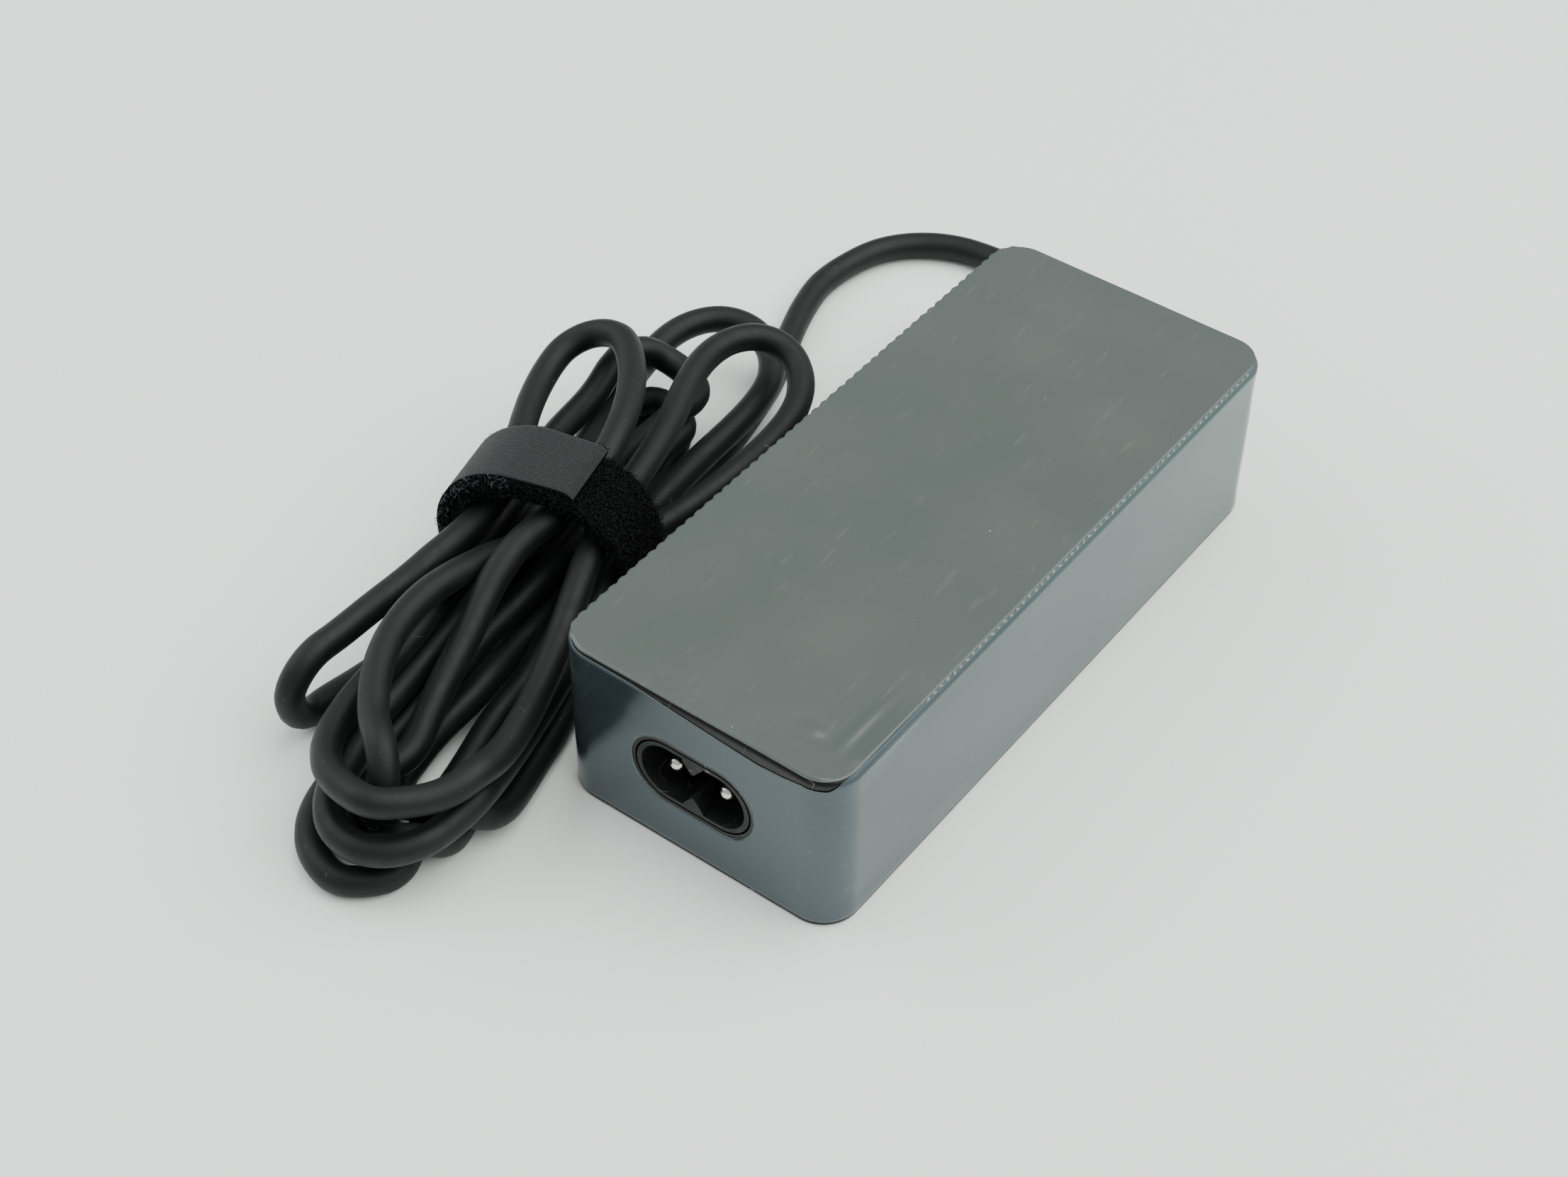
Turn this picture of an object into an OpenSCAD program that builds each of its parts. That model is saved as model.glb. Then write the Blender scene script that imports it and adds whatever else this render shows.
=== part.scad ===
// Laptop power adapter: a slim rounded brick with a figure-8 mains inlet at one end.
// Its output lead leaves the other end and is folded into a hank, held by a hook-and-loop strap.
// Origin: centre of the underside. +Y points to the output end, +Z up, millimetres.

/* [Casing] */
// Width across the casing, film included
body_w = 47; // [44:0.5:52]
// Length from the inlet face to the output face, film included
body_l = 110; // [108:1:120]
// Height from the underside to the top of the bare casing
shell_h = 28.3; // [28:0.1:31]
// Radius of the four upright corners
corner_r = 5.5; // [4:0.5:8]
// Radius of the edge round the top face
edge_r = 0.8; // [0.4:0.1:1.2]
// Thickness of the casing's walls
wall = 2; // [1.5:0.1:2.5]
// Thickness of the clear shipping film
film_t = 0.15; // [0.1:0.05:0.2]

/* [Mains inlet] */
// Distance between the two contact pins
pin_pitch = 8.6; // [8.6]
// Diameter of a contact pin
pin_d = 2.36; // [2.36]
// How far the pins' tips lie behind the inlet face
pin_recess = 1.2; // [1:0.1:2.5]
// Half of the inlet cavity's length
cavity_a = 8.7; // [8.5:0.1:9]
// Half of the inlet cavity's height
cavity_b = 4.6; // [4.5:0.1:4.8]
// Depth of the inlet cavity
cavity_depth = 11; // [10:0.5:12]
// Height of the inlet's centre above the underside
inlet_z = 14.2; // [14:0.1:14.6]
// How far each key tooth reaches into the cavity
tooth_depth = 2.2; // [1.8:0.1:2.4]

/* [Output lead] */
// Diameter of the lead
cord_d = 4.4; // [4:0.1:5]
// Height of the lead's exit above the underside
exit_z = 11; // [10:0.5:12]
// Length of the strain relief outside the casing
relief_l = 8; // [7:0.5:8]

/* [Hank and strap] */
// Centre of the strap, across the casing
hank_x = -47; // [-50:0.5:-46]
// Centre of the strap, along the casing
hank_y = -27; // [-30:0.5:-25]
// Angle of the hank to the casing's length
hank_turn = 14; // [12:1:16]
// Height of the hank
hank_h = 23.4; // [20:0.1:24]
// Width of the strap along the hank
strap_w = 12; // [10:0.5:12]
// Thickness of one layer of strap
strap_t = 1.8; // [1.4:0.1:1.8]

/* [Plug] */
// Width of the plug's grip
grip_w = 12.2; // [11:0.1:12.4]
// Thickness of the plug's grip
grip_h = 6.6; // [6:0.1:7]
// Length of the plug's grip
grip_l = 20; // [18:0.5:24]

/* [Hidden] */

$fn = 64;
sliver = 0.01;

// Bare casing, inside the film
shell_w = body_w - 2 * film_t;
shell_l = body_l - 2 * film_t;
inner_w = shell_w - 2 * wall;
inner_l = shell_l - 2 * wall;
inner_r = corner_r - wall;
ceiling = shell_h - wall;
face_y = -shell_l / 2;
inner_face_y = face_y + wall;

// Inlet: the socket's rim stands in the casing's opening with a fine gap round it
rim_a = 9.5;
rim_b = 5.2;
rim_gap = 0.3;
film_cut_a = 10.3;
film_cut_b = 6.1;
floor_y = face_y + cavity_depth;
socket_back_y = floor_y + 2.4;
root_r = 1.35;
tooth_base = 3.4;
tooth_tip_r = 0.5;

// Main board and what stands on it
board_w = 40.8;
board_l = 100;
board_t = 1.6;
board_z = 4;
base_z = board_z + board_t;
lining = 0.4;
spreader_t = 0.5;

// Output lead: from the strain relief down to the table, round and into the hank
cord_r = cord_d / 2;
lead_start_y = shell_l / 2 + relief_l;
lead_route = [
    [0, lead_start_y, exit_z], [-1, 66.5, 10.5], [-3.5, 70, 9], [-8, 72.8, 7.2],
    [-14, 74.5, 5.6], [-20, 75.5, 4.4], [-26, 76.5, 3.4], [-33, 77.5, 2.8],
    [-40, 78, 2.4], [-47, 77, 2.2], [-53, 73.5, 2.2], [-57, 68.5, 2.2],
    [-59, 62, 2.2], [-59.5, 55, 2.2], [-58, 48, 2.2], [-55.5, 41, 2.2],
    [-52.5, 34, 2.2], [-50, 27, 2.2]
];

// Short free end: out of the hank and along the casing's side to the plug
end_route = [
    [-36.5, 15, 2.2], [-35, 21, 2.2], [-33.8, 27, 2.5], [-33, 33, 3.3]
];

// Plug, lying flat beside the casing
plug_x = -33;
plug_y = 33;
plug_relief_l = 8;
plug_z = grip_h / 2;
usb_w = 8.3;
usb_h = 2.5;
usb_l = 6.6;
usb_wall = 0.3;
contact_pitch = 0.5;
contacts_a_side = 12;

// Strap ring, in the hank's own frame (X across the hank, Y along it)
ring_in_lo = -13.2;
ring_in_hi = 12.2;
ring_in_top = hank_h + 0.1;
ring_r = 6;
ring_top_r = 10;
tail_end_x = 6;
tail_root_z = 4;
layer_gap = 0.3;
strap_half = strap_w / 2;
hank_gap = 0.5;

// ---- shared outlines and shapes ----

module rounded_rect(w, h, r) {
    square([w - 2 * r, h], center = true);
    square([w, h - 2 * r], center = true);
    for (sx = [-1, 1], sy = [-1, 1])
        translate([sx * (w / 2 - r), sy * (h / 2 - r)]) circle(r = r);
}

// Rounded rectangle whose upper corners have a radius of their own
module arch_rect(w, h, r, top_r) {
    for (end = [[-1, r], [1, top_r]]) {
        side = end[0];
        radius = end[1];
        translate([-w / 2 + radius, side < 0 ? -h / 2 : h / 2 - radius])
            square([w - 2 * radius, radius]);
        for (sx = [-1, 1])
            translate([sx * (w / 2 - radius), side * (h / 2 - radius)]) circle(r = radius);
    }
    translate([-w / 2, -h / 2 + r]) square([w, h - r - top_r]);
}

module stadium(a, b) {
    square([2 * (a - b), 2 * b], center = true);
    for (s = [-1, 1]) translate([s * (a - b), 0]) circle(r = b);
}

// Extrudes an outline drawn in X and Z along +Y, from y0 to y1
module along_y(y0, y1) {
    translate([0, y1, 0]) rotate([90, 0, 0]) linear_extrude(y1 - y0) children();
}

// Places things drawn in the hank's own frame
module in_hank_frame() {
    translate([hank_x, hank_y, 0]) rotate([0, 0, hank_turn]) children();
}

// Half outline of a block whose top edge is rounded
module soft_side(w, h, e) {
    translate([-w / 2, 0]) square([w, h - e]);
    translate([-w / 2 + e, 0]) square([w - 2 * e, h]);
    for (s = [-1, 1]) translate([s * (w / 2 - e), h - e]) circle(r = e);
}

// Block with upright rounded corners and a rounded edge round its top
module soft_block(w, l, h, r, e) {
    along_y(r - l / 2, l / 2 - r) soft_side(w, h, e);
    rotate([0, 0, 90]) along_y(r - w / 2, w / 2 - r) soft_side(l, h, e);
    for (sx = [-1, 1], sy = [-1, 1])
        translate([sx * (w / 2 - r), sy * (l / 2 - r), 0])
            rotate_extrude() intersection() {
                soft_side(2 * r, h, e);
                square([r, h]);
            }
}

// Straight legs of an upright component, standing on the board
module legs(xs, y, size, top) {
    for (x = xs)
        translate([x - size / 2, y - size / 2, base_z]) cube([size, size, top - base_z]);
}

// ---- a round tube swept along a route ----

function unit(v) = v / norm(v);
function heading(p, i) =
    i == 0 ? unit(p[1] - p[0])
    : i == len(p) - 1 ? unit(p[i] - p[i - 1])
    : unit(unit(p[i + 1] - p[i]) + unit(p[i] - p[i - 1]));
function ring(c, t, r, n) =
    let (side = unit(cross(t, [0, 0, 1])), up = cross(side, t))
    [for (k = [0 : n - 1]) c + r * (cos(360 * k / n) * side + sin(360 * k / n) * up)];

module tube(route, r, n = 10, first = [0, 0, 0], last = [0, 0, 0]) {
    m = len(route);
    points = [for (i = [0 : m - 1])
        let (t = i == 0 && norm(first) > 0 ? first
            : i == m - 1 && norm(last) > 0 ? last : heading(route, i))
        each ring(route[i], t, r, n)];
    sides = [for (i = [0 : m - 2], k = [0 : n - 1])
        [i * n + k, i * n + (k + 1) % n, (i + 1) * n + (k + 1) % n, (i + 1) * n + k]];
    start_cap = [[for (k = [n - 1 : -1 : 0]) k]];
    end_cap = [[for (k = [0 : n - 1]) (m - 1) * n + k]];
    polyhedron(points, concat(sides, start_cap, end_cap), convexity = 6);
}

// ---- casing and film ----

module upper_shell() {
    color("#1c1e20") difference() {
        soft_block(shell_w, shell_l, shell_h, corner_r, edge_r);
        translate([0, 0, -1]) linear_extrude(ceiling + 1)
            rounded_rect(inner_w, inner_l, inner_r);
        translate([0, 0, inlet_z]) along_y(face_y - 1, inner_face_y + 1)
            stadium(rim_a + rim_gap, rim_b + rim_gap);
        translate([0, 0, exit_z]) along_y(-inner_face_y - 1, -face_y + 1) circle(r = 3.4);
    }
}

module lower_cover() {
    color("#1a1c1e") {
        linear_extrude(wall) rounded_rect(inner_w, inner_l, inner_r);
        for (sx = [-1, 1], y = [-45, -15, 15, 45])
            translate([sx * 17, y, wall]) cylinder(d = 4, h = board_z - wall);
    }
}

module top_film() {
    color("#cfe0da", 0.4) translate([0, 0, shell_h]) linear_extrude(film_t)
        rounded_rect(shell_w - 2 * edge_r, shell_l - 2 * edge_r, corner_r - edge_r);
}

module side_film() {
    color("#c9dbe6", 0.4) difference() {
        translate([0, 0, 0.6]) linear_extrude(26.2) difference() {
            rounded_rect(body_w, body_l, corner_r + film_t);
            rounded_rect(shell_w, shell_l, corner_r);
        }
        translate([0, 0, inlet_z]) along_y(face_y - 1, face_y + 1)
            stadium(film_cut_a, film_cut_b);
        translate([0, 0, exit_z]) along_y(-face_y - 1, -face_y + 1) circle(r = 5);
    }
}

// ---- mains inlet ----

module tooth() {
    tip_y = cavity_b - tooth_depth + tooth_tip_r;
    translate([0, tip_y]) circle(r = tooth_tip_r);
    polygon([
        [-tooth_base / 2, cavity_b + 0.3], [-tooth_base / 2, cavity_b - 0.3],
        [-tooth_tip_r * 0.9, tip_y - tooth_tip_r * 0.4],
        [tooth_tip_r * 0.9, tip_y - tooth_tip_r * 0.4],
        [tooth_base / 2, cavity_b - 0.3], [tooth_base / 2, cavity_b + 0.3]
    ]);
}

module inlet_socket() {
    color("#3a3d3d") translate([0, 0, inlet_z]) difference() {
        union() {
            along_y(face_y, inner_face_y) stadium(rim_a, rim_b);
            along_y(inner_face_y, inner_face_y + 1.8) rounded_rect(23, 14.4, 3);
            along_y(inner_face_y, socket_back_y) stadium(rim_a + 0.9, rim_b + 0.9);
        }
        along_y(face_y - 1, face_y + cavity_depth) difference() {
            stadium(cavity_a, cavity_b);
            tooth();
            mirror([0, 1]) tooth();
        }
        for (s = [-1, 1]) translate([s * pin_pitch / 2, 0, 0])
            along_y(floor_y - 1, socket_back_y + 1) circle(r = root_r);
    }
}

// Round-nosed pin: a smooth shank in the cavity, a thicker root in the socket's back, and a lug
module contact_pin(side) {
    tip_y = face_y + pin_recess;
    r = pin_d / 2;
    color("#d8d6cf") {
        translate([side * pin_pitch / 2, tip_y, inlet_z]) rotate([-90, 0, 0]) {
            translate([0, 0, r]) cylinder(r = r, h = floor_y - tip_y - r);
            translate([0, 0, floor_y - tip_y]) cylinder(r = root_r, h = socket_back_y - floor_y);
            rotate_extrude() intersection() {
                translate([0, r]) circle(r = r);
                square([r, r]);
            }
        }
        translate([side * pin_pitch / 2 - 1.1, socket_back_y, base_z])
            cube([2.2, 0.8, inlet_z + r - base_z]);
    }
}

module line_pin() { contact_pin(-1); }
module neutral_pin() { contact_pin(1); }

// ---- circuit ----

module main_board() {
    color("#2f6b3c") translate([0, 0, board_z]) linear_extrude(board_t)
        rounded_rect(board_w, board_l, 2.5);
}

module fuse() {
    color("#8a5a2b") {
        translate([-14.5, -36, base_z + 1]) cylinder(d = 8.4, h = 7.5);
        legs([-17, -12], -36, 0.7, base_z + 1.2);
    }
}

module x_capacitor() {
    color("#d9b53a") {
        translate([-8.5, -36.8, base_z]) cube([18, 8, 14]);
    }
}

choke_at = [-10, -17.5];
module choke_core() {
    color("#3b5d46") translate([choke_at.x, choke_at.y, base_z + 1])
        rotate_extrude() translate([5, 0]) square([3, 8]);
}

module choke_windings() {
    color("#b5662d") translate([choke_at.x, choke_at.y, base_z])
        for (a = [15, 195]) rotate([0, 0, a]) rotate_extrude(angle = 150)
            difference() {
                translate([4, 0]) square([5, 10]);
                translate([5 - sliver, 1 - sliver]) square([3 + 2 * sliver, 8 + 2 * sliver]);
            }
}

module bridge_rectifier() {
    color("#26282a") {
        translate([4, -27, base_z + 3.5]) cube([15, 3.4, 10.5]);
        legs([6, 9.8, 13.4, 17], -25.3, 0.9, base_z + 4);
    }
}

module bulk_capacitor() {
    r = 8;
    color("#20242c") translate([11, 0, base_z + r]) rotate([90, 0, 0])
        translate([0, 0, -12]) rotate_extrude() polygon([
            [0, 0], [r - 0.8, 0], [r, 0.8], [r, 27], [r - 0.7, 27.8],
            [r - 0.7, 28.8], [r, 29.6], [r, 31.2], [r - 0.8, 32], [0, 32]
        ]);
}

module primary_heatsink() {
    color("#b9bdc0") {
        translate([-20.2, -6, base_z]) cube([1.2, 19, 17]);
        translate([-20.2, -6, base_z + 17]) cube([8, 19, 1.2]);
    }
}

module transistor(x0, y0) {
    translate([x0, y0, base_z + 3]) cube([4.2, 10, 13]);
    for (dy = [2.5, 5, 7.5])
        translate([x0 + 1.8, y0 + dy - 0.35, base_z]) cube([0.7, 0.7, 3 + sliver]);
}

module switching_transistor() {
    color("#232527") transistor(-19, -2);
}

trafo_y = 24;
core_z = base_z + 1.6;
module transformer_core() {
    color("#4a4d50") translate([0, trafo_y, core_z]) difference() {
        translate([-12, -6, 0]) cube([24, 12, 17.4]);
        for (s = [-1, 1]) translate([s * 6.6 - 2.6, -7, 3.2]) cube([5.2, 14, 11]);
    }
}

module transformer_winding() {
    color("#e0c84a") translate([0, trafo_y, core_z + 3.3]) linear_extrude(10.8)
        difference() {
            rounded_rect(18.2, 20.4, 4);
            square([8.1, 12.1], center = true);
        }
}

module transformer_bobbin() {
    color("#2a2c2e") for (s = [-1, 1]) {
        translate([-10, trafo_y + s * 9.5 - 1.5, base_z]) cube([20, 3, 1.6]);
        for (x = [-8, -4, 0, 4, 8])
            translate([x - 0.4, trafo_y + s * 9.5 - 0.4, base_z + 1.5]) cube([0.8, 0.8, 3.4]);
    }
}

module secondary_heatsink() {
    color("#b9bdc0") {
        translate([19, 20, base_z]) cube([1.2, 22, 15]);
        translate([13, 20, base_z + 17.4]) cube([7.2, 22, 1.2]);
        translate([19, 20, base_z + 15 - sliver]) cube([1.2, 22, 2.5]);
    }
}

module rectifier_transistor() {
    color("#232527") transistor(14.8, 26);
}

module output_capacitors() {
    color("#27405e") for (p = [[-15, 41], [-5.8, 42]])
        translate([p.x, p.y, base_z]) rotate_extrude() polygon([
            [0, 0], [3.9, 0], [3.9, 1.2], [3.5, 1.8], [3.9, 2.4], [3.9, 14.6],
            [3.5, 15], [0, 15]
        ]);
}

module y_capacitor() {
    color("#3f6fb0") {
        translate([5, 42, base_z + 7]) rotate([0, 90, 0]) cylinder(d = 8, h = 3.6);
        for (y = [39.5, 44.5]) translate([6.5, y - 0.3, base_z]) cube([0.6, 0.6, 7]);
    }
}

module optocoupler() {
    color("#e8e6de") {
        translate([11, 43.8, base_z + 0.6]) cube([6.4, 4.6, 3.4]);
        for (x = [12.2, 15.6], y = [43.4, 48.3])
            translate([x, y, base_z]) cube([0.6, 0.5, 2]);
    }
}

module control_board() {
    color("#2f6b3c") {
        translate([-19.5, 47.6, base_z]) cube([17, 1, 14]);
        translate([-14, 46.8, base_z + 5]) cube([5, 0.8, 5]);
    }
}

module output_wires() {
    color("#b03030") for (s = [-1, 1]) {
        translate([s * 1.6, 46, base_z]) cylinder(d = 1.5, h = exit_z - base_z);
        translate([s * 1.6, 46, exit_z]) sphere(d = 1.5);
        translate([s * 1.6, 46, exit_z]) rotate([-90, 0, 0])
            cylinder(d = 1.5, h = -inner_face_y - 1.5 - 46);
    }
}

// Outline of a lining bent over the circuit, open below
module arch(outer_w, top, t, foot) {
    translate([-outer_w / 2, foot]) difference() {
        square([outer_w, top - foot]);
        translate([t, -1]) square([outer_w - 2 * t, top - foot - t + 1]);
    }
}

module heat_spreader() {
    color("#c8cbce") along_y(-28, 45)
        arch(inner_w - 2 * lining, ceiling - lining, spreader_t, 9);
}

module insulation_sheet() {
    color("#e9e6d6") along_y(-36, 48) arch(inner_w, ceiling, lining, 7);
}

// ---- output lead, hank, strap and plug ----

module strain_relief() {
    wall_in = -inner_face_y;
    color("#17191a") translate([0, wall_in - 1.5, exit_z]) rotate([-90, 0, 0])
        rotate_extrude() polygon([
            [0, 0], [5, 0], [5, 1.5], [3.4, 1.5], [3.4, 1.5 + wall],
            [4.4, 1.5 + wall], [4.4, 3 + wall], [3.9, 3.4 + wall],
            [3.1, 1.1 + wall + relief_l], [2.7, 1.5 + wall + relief_l],
            [0, 1.5 + wall + relief_l]
        ]);
}

module cord_lead() {
    color("#26292a") tube(lead_route, cord_r, 10, [0, 1, 0]);
}

// Outline of one fan of loops: a wedge that widens from the strap, with round ends
module near_fan() {
    polygon([
        [ring_in_lo, -strap_half - hank_gap], [ring_in_hi, -strap_half - hank_gap],
        [14.3, -49.5], [-15.3, -49.5], [-24, -38.5]
    ]);
    translate([-0.5, -49.5]) circle(r = 14.8);
    translate([-18, -38.5]) circle(r = 6);
}

module far_fan() {
    polygon([
        [ring_in_lo, strap_half + hank_gap], [ring_in_hi, strap_half + hank_gap],
        [23, 37], [13.5, 44.5], [-14.8, 44.5]
    ]);
    translate([1, 44.5]) circle(r = 15.8);
    translate([13.5, 42.5]) circle(r = 11);
}

module cord_hank() {
    color("#2b2e2f") in_hank_frame() {
        linear_extrude(hank_h) near_fan();
        linear_extrude(hank_h) far_fan();
        mid = (ring_in_lo + ring_in_hi) / 2;
        mid_z = (strap_t + ring_in_top) / 2;
        translate([mid, 0, mid_z]) along_y(-strap_half - 1, strap_half + 1)
            arch_rect(ring_in_hi - ring_in_lo, ring_in_top - strap_t, ring_r, ring_top_r);
    }
}

module cord_end() {
    color("#26292a") tube(end_route, cord_r, 10, [0, 0, 0], [0, 1, 0]);
}

// Outline across the strap: the opening grown by a number of layers
module strap_outline(grow) {
    w = ring_in_hi - ring_in_lo;
    h = ring_in_top - strap_t;
    translate([(ring_in_lo + ring_in_hi) / 2, (ring_in_top + strap_t) / 2])
        arch_rect(w + 2 * grow, h + 2 * grow, ring_r + grow, ring_top_r + grow);
}

module strap_band() {
    color("#1d1f21") in_hank_frame() along_y(-strap_half, strap_half) difference() {
        strap_outline(strap_t);
        strap_outline(0);
    }
}

module strap_tail() {
    color("#3c4040") in_hank_frame() along_y(-strap_half, strap_half) intersection() {
        difference() {
            strap_outline(2 * strap_t + layer_gap);
            strap_outline(strap_t + layer_gap);
        }
        translate([-30, tail_root_z]) square([30 + tail_end_x, 40]);
    }
}

module plug_grip() {
    color("#1b1d1e") translate([plug_x, 0, plug_z]) {
        along_y(plug_y + plug_relief_l, plug_y + plug_relief_l + grip_l)
            rounded_rect(grip_w, grip_h, grip_h / 2 - sliver);
        translate([0, plug_y, 0]) rotate([-90, 0, 0]) rotate_extrude() polygon([
            [0, 0], [2.6, 0], [3.1, plug_relief_l + 1], [0, plug_relief_l + 1]
        ]);
    }
}

plug_face_y = plug_y + plug_relief_l + grip_l;
module plug_shell() {
    color("#c9ccce") translate([plug_x, 0, plug_z]) along_y(plug_face_y, plug_face_y + usb_l)
        difference() {
            stadium(usb_w / 2, usb_h / 2);
            stadium(usb_w / 2 - usb_wall, usb_h / 2 - usb_wall);
        }
}

module plug_insert() {
    slot_w = 6.7;
    slot_h = 0.9;
    color("#101112") translate([plug_x, 0, plug_z])
        along_y(plug_face_y, plug_face_y + usb_l - 0.8) difference() {
            stadium(usb_w / 2 - usb_wall, usb_h / 2 - usb_wall);
            square([slot_w, slot_h], center = true);
        }
}

module plug_contacts() {
    first = -(contacts_a_side - 1) / 2 * contact_pitch;
    color("#d8b45a") translate([plug_x, plug_face_y, plug_z])
        for (i = [0 : contacts_a_side - 1], s = [-1, 1])
            translate([first + i * contact_pitch - 0.12, 0.6, s * 0.38 - 0.07])
                cube([0.24, 4.4, 0.14]);
}

upper_shell();
lower_cover();
top_film();
side_film();
inlet_socket();
line_pin();
neutral_pin();
main_board();
fuse();
x_capacitor();
choke_core();
choke_windings();
bridge_rectifier();
bulk_capacitor();
primary_heatsink();
switching_transistor();
transformer_core();
transformer_winding();
transformer_bobbin();
secondary_heatsink();
rectifier_transistor();
output_capacitors();
y_capacitor();
optocoupler();
control_board();
output_wires();
heat_spreader();
insulation_sheet();
strain_relief();
cord_lead();
cord_hank();
cord_end();
strap_band();
strap_tail();
plug_grip();
plug_shell();
plug_insert();
plug_contacts();
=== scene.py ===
import math

import bpy
import numpy as np
from mathutils import Matrix, Vector


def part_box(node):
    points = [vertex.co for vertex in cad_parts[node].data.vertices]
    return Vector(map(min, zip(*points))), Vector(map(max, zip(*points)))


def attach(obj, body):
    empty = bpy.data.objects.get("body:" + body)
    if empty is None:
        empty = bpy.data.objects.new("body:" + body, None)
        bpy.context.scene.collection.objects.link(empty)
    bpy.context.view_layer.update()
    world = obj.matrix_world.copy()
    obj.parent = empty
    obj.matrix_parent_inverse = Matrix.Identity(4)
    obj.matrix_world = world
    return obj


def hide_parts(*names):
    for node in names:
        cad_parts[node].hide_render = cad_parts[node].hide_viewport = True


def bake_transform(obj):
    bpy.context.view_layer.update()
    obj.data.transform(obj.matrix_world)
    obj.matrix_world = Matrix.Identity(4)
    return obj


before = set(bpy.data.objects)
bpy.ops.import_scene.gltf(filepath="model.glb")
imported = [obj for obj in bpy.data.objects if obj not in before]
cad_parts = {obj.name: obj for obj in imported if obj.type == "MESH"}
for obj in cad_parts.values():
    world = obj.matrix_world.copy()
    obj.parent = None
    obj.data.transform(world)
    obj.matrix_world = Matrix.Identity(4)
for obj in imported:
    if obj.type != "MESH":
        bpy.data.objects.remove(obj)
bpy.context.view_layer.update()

MM = 0.001
ADAPTER = "adapter"


# ---- camera: angles in degrees, distance in metres, lens in millimetres ----

CAMERA_AZIMUTH = 36.72
CAMERA_ELEVATION = 44.46
CAMERA_ROLL = 0.39
CAMERA_DISTANCE = 0.3913
CAMERA_TARGET = Vector((-0.01612, -0.01314, 0.00909))
CAMERA_LENS = 61.62
SENSOR_WIDTH = 36


def make_camera():
    azimuth, elevation, roll = (math.radians(a) for a in (CAMERA_AZIMUTH, CAMERA_ELEVATION, CAMERA_ROLL))
    back = Vector((
        math.sin(azimuth) * math.cos(elevation),
        -math.cos(azimuth) * math.cos(elevation),
        math.sin(elevation),
    ))
    right = Vector((math.cos(azimuth), math.sin(azimuth), 0))
    up = back.cross(right)
    turned_right = right * math.cos(roll) + up * math.sin(roll)
    turned_up = up * math.cos(roll) - right * math.sin(roll)
    data = bpy.data.cameras.new("camera")
    data.sensor_width = SENSOR_WIDTH
    data.lens = CAMERA_LENS
    data.clip_start = 0.01
    camera = bpy.data.objects.new("camera", data)
    bpy.context.scene.collection.objects.link(camera)
    axes = Matrix((turned_right, turned_up, back)).transposed().to_4x4()
    camera.matrix_world = Matrix.Translation(CAMERA_TARGET + back * CAMERA_DISTANCE) @ axes
    bpy.context.scene.camera = camera


make_camera()


# ---- mesh helpers ----

def dress(piece, *looks):
    for look in looks:
        piece.data.materials.append(look)


def add_object(name, data):
    obj = bpy.data.objects.new(name, data)
    bpy.context.scene.collection.objects.link(obj)
    return obj


def mesh_object(name, points, faces, smooth=True):
    mesh = bpy.data.meshes.new(name)
    mesh.from_pydata([tuple(p) for p in points], [], faces)
    mesh.update()
    mesh.polygons.foreach_set("use_smooth", [smooth] * len(mesh.polygons))
    return add_object(name, mesh)


def grid_faces(columns, rows, closed_columns=False, closed_rows=False):
    """Quads of a grid whose points run row by row inside each column."""
    faces = []
    for i in range(columns if closed_columns else columns - 1):
        for j in range(rows if closed_rows else rows - 1):
            a = i * rows + j
            b = ((i + 1) % columns) * rows + j
            c = ((i + 1) % columns) * rows + (j + 1) % rows
            d = i * rows + (j + 1) % rows
            faces.append((a, b, c, d))
    return faces


def smooth_step(t):
    t = np.clip(t, 0, 1)
    return t * t * (3 - 2 * t)


def hump(t, centre, width):
    return np.exp(-(((t - centre) / width) ** 2))


# ---- cord: route in millimetres ----

CORD_D = 4.4
CORD_STEP = 1.9

# The hank's frame: across and along it, from the middle of the strap, turned from the casing's
HANK_X = -47.0
HANK_Y = -27.0
HANK_TURN = math.radians(14)

# How far from the strap's middle the passes through it begin and end
STRAP_HALF = 4.0

# The strap's inside, seen along the hank: left, right, bottom, top, and its corners' radii
RING_LO = -13.2
RING_HI = 12.2
RING_BOTTOM = 1.8
RING_TOP = 23.5
RING_R = 6.0
RING_TOP_R = 10.0

# Where the cord leaves the casing
EXIT_Z = 11.0

LEAD_ROUTE = [
    (0, 55, 11), (0, 59, 11), (0, 62.85, 11), (-1, 66.5, 10.5), (-3.5, 70, 9),
    (-8, 72.8, 7.2), (-14, 74.5, 5.6), (-20, 75.5, 4.4), (-26, 76.5, 3.4),
    (-33, 77.5, 2.8), (-40, 78, 2.4), (-47, 77, 2.2), (-53, 73.5, 2.2),
    (-57, 68.5, 2.2), (-59, 62, 2.2), (-59.5, 55, 2.2), (-58, 48, 2.2),
    (-55.5, 41, 2.2), (-52.5, 34, 2.2), (-50, 27, 2.2), (-47.8, 19, 2.2),
    (-46, 10, 2.2), (-44.8, 0, 2.2), (-43.5, -10, 2.6),
]
END_ROUTE = [
    (-41.5, -14, 3.4), (-39.5, -6, 2.6), (-38, 4, 2.2), (-36.5, 15, 2.2),
    (-35, 21, 2.2), (-33.8, 27, 2.5), (-33, 33, 3.3), (-33, 37, 3.3),
]

# Where each pass goes through the strap: across at the near edge, across at the far edge, height
PASSES = [
    (6.6, 6.6, 4.3), (2.2, 2.2, 4.3), (-6.6, -6.6, 4.3), (6, 6, 8.7), (-5, -5, 13),
    (10, 10, 9.5), (7.5, 7.5, 17.5), (-9.8, -9.8, 11.5), (-0.5, -0.5, 15.5),
    (1.7, 3, 20.3), (-9.8, -9.8, 17.5), (-8.5, -8.5, 7.8), (0.5, 0.5, 9.5), (10.8, 10.8, 5),
]

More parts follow.
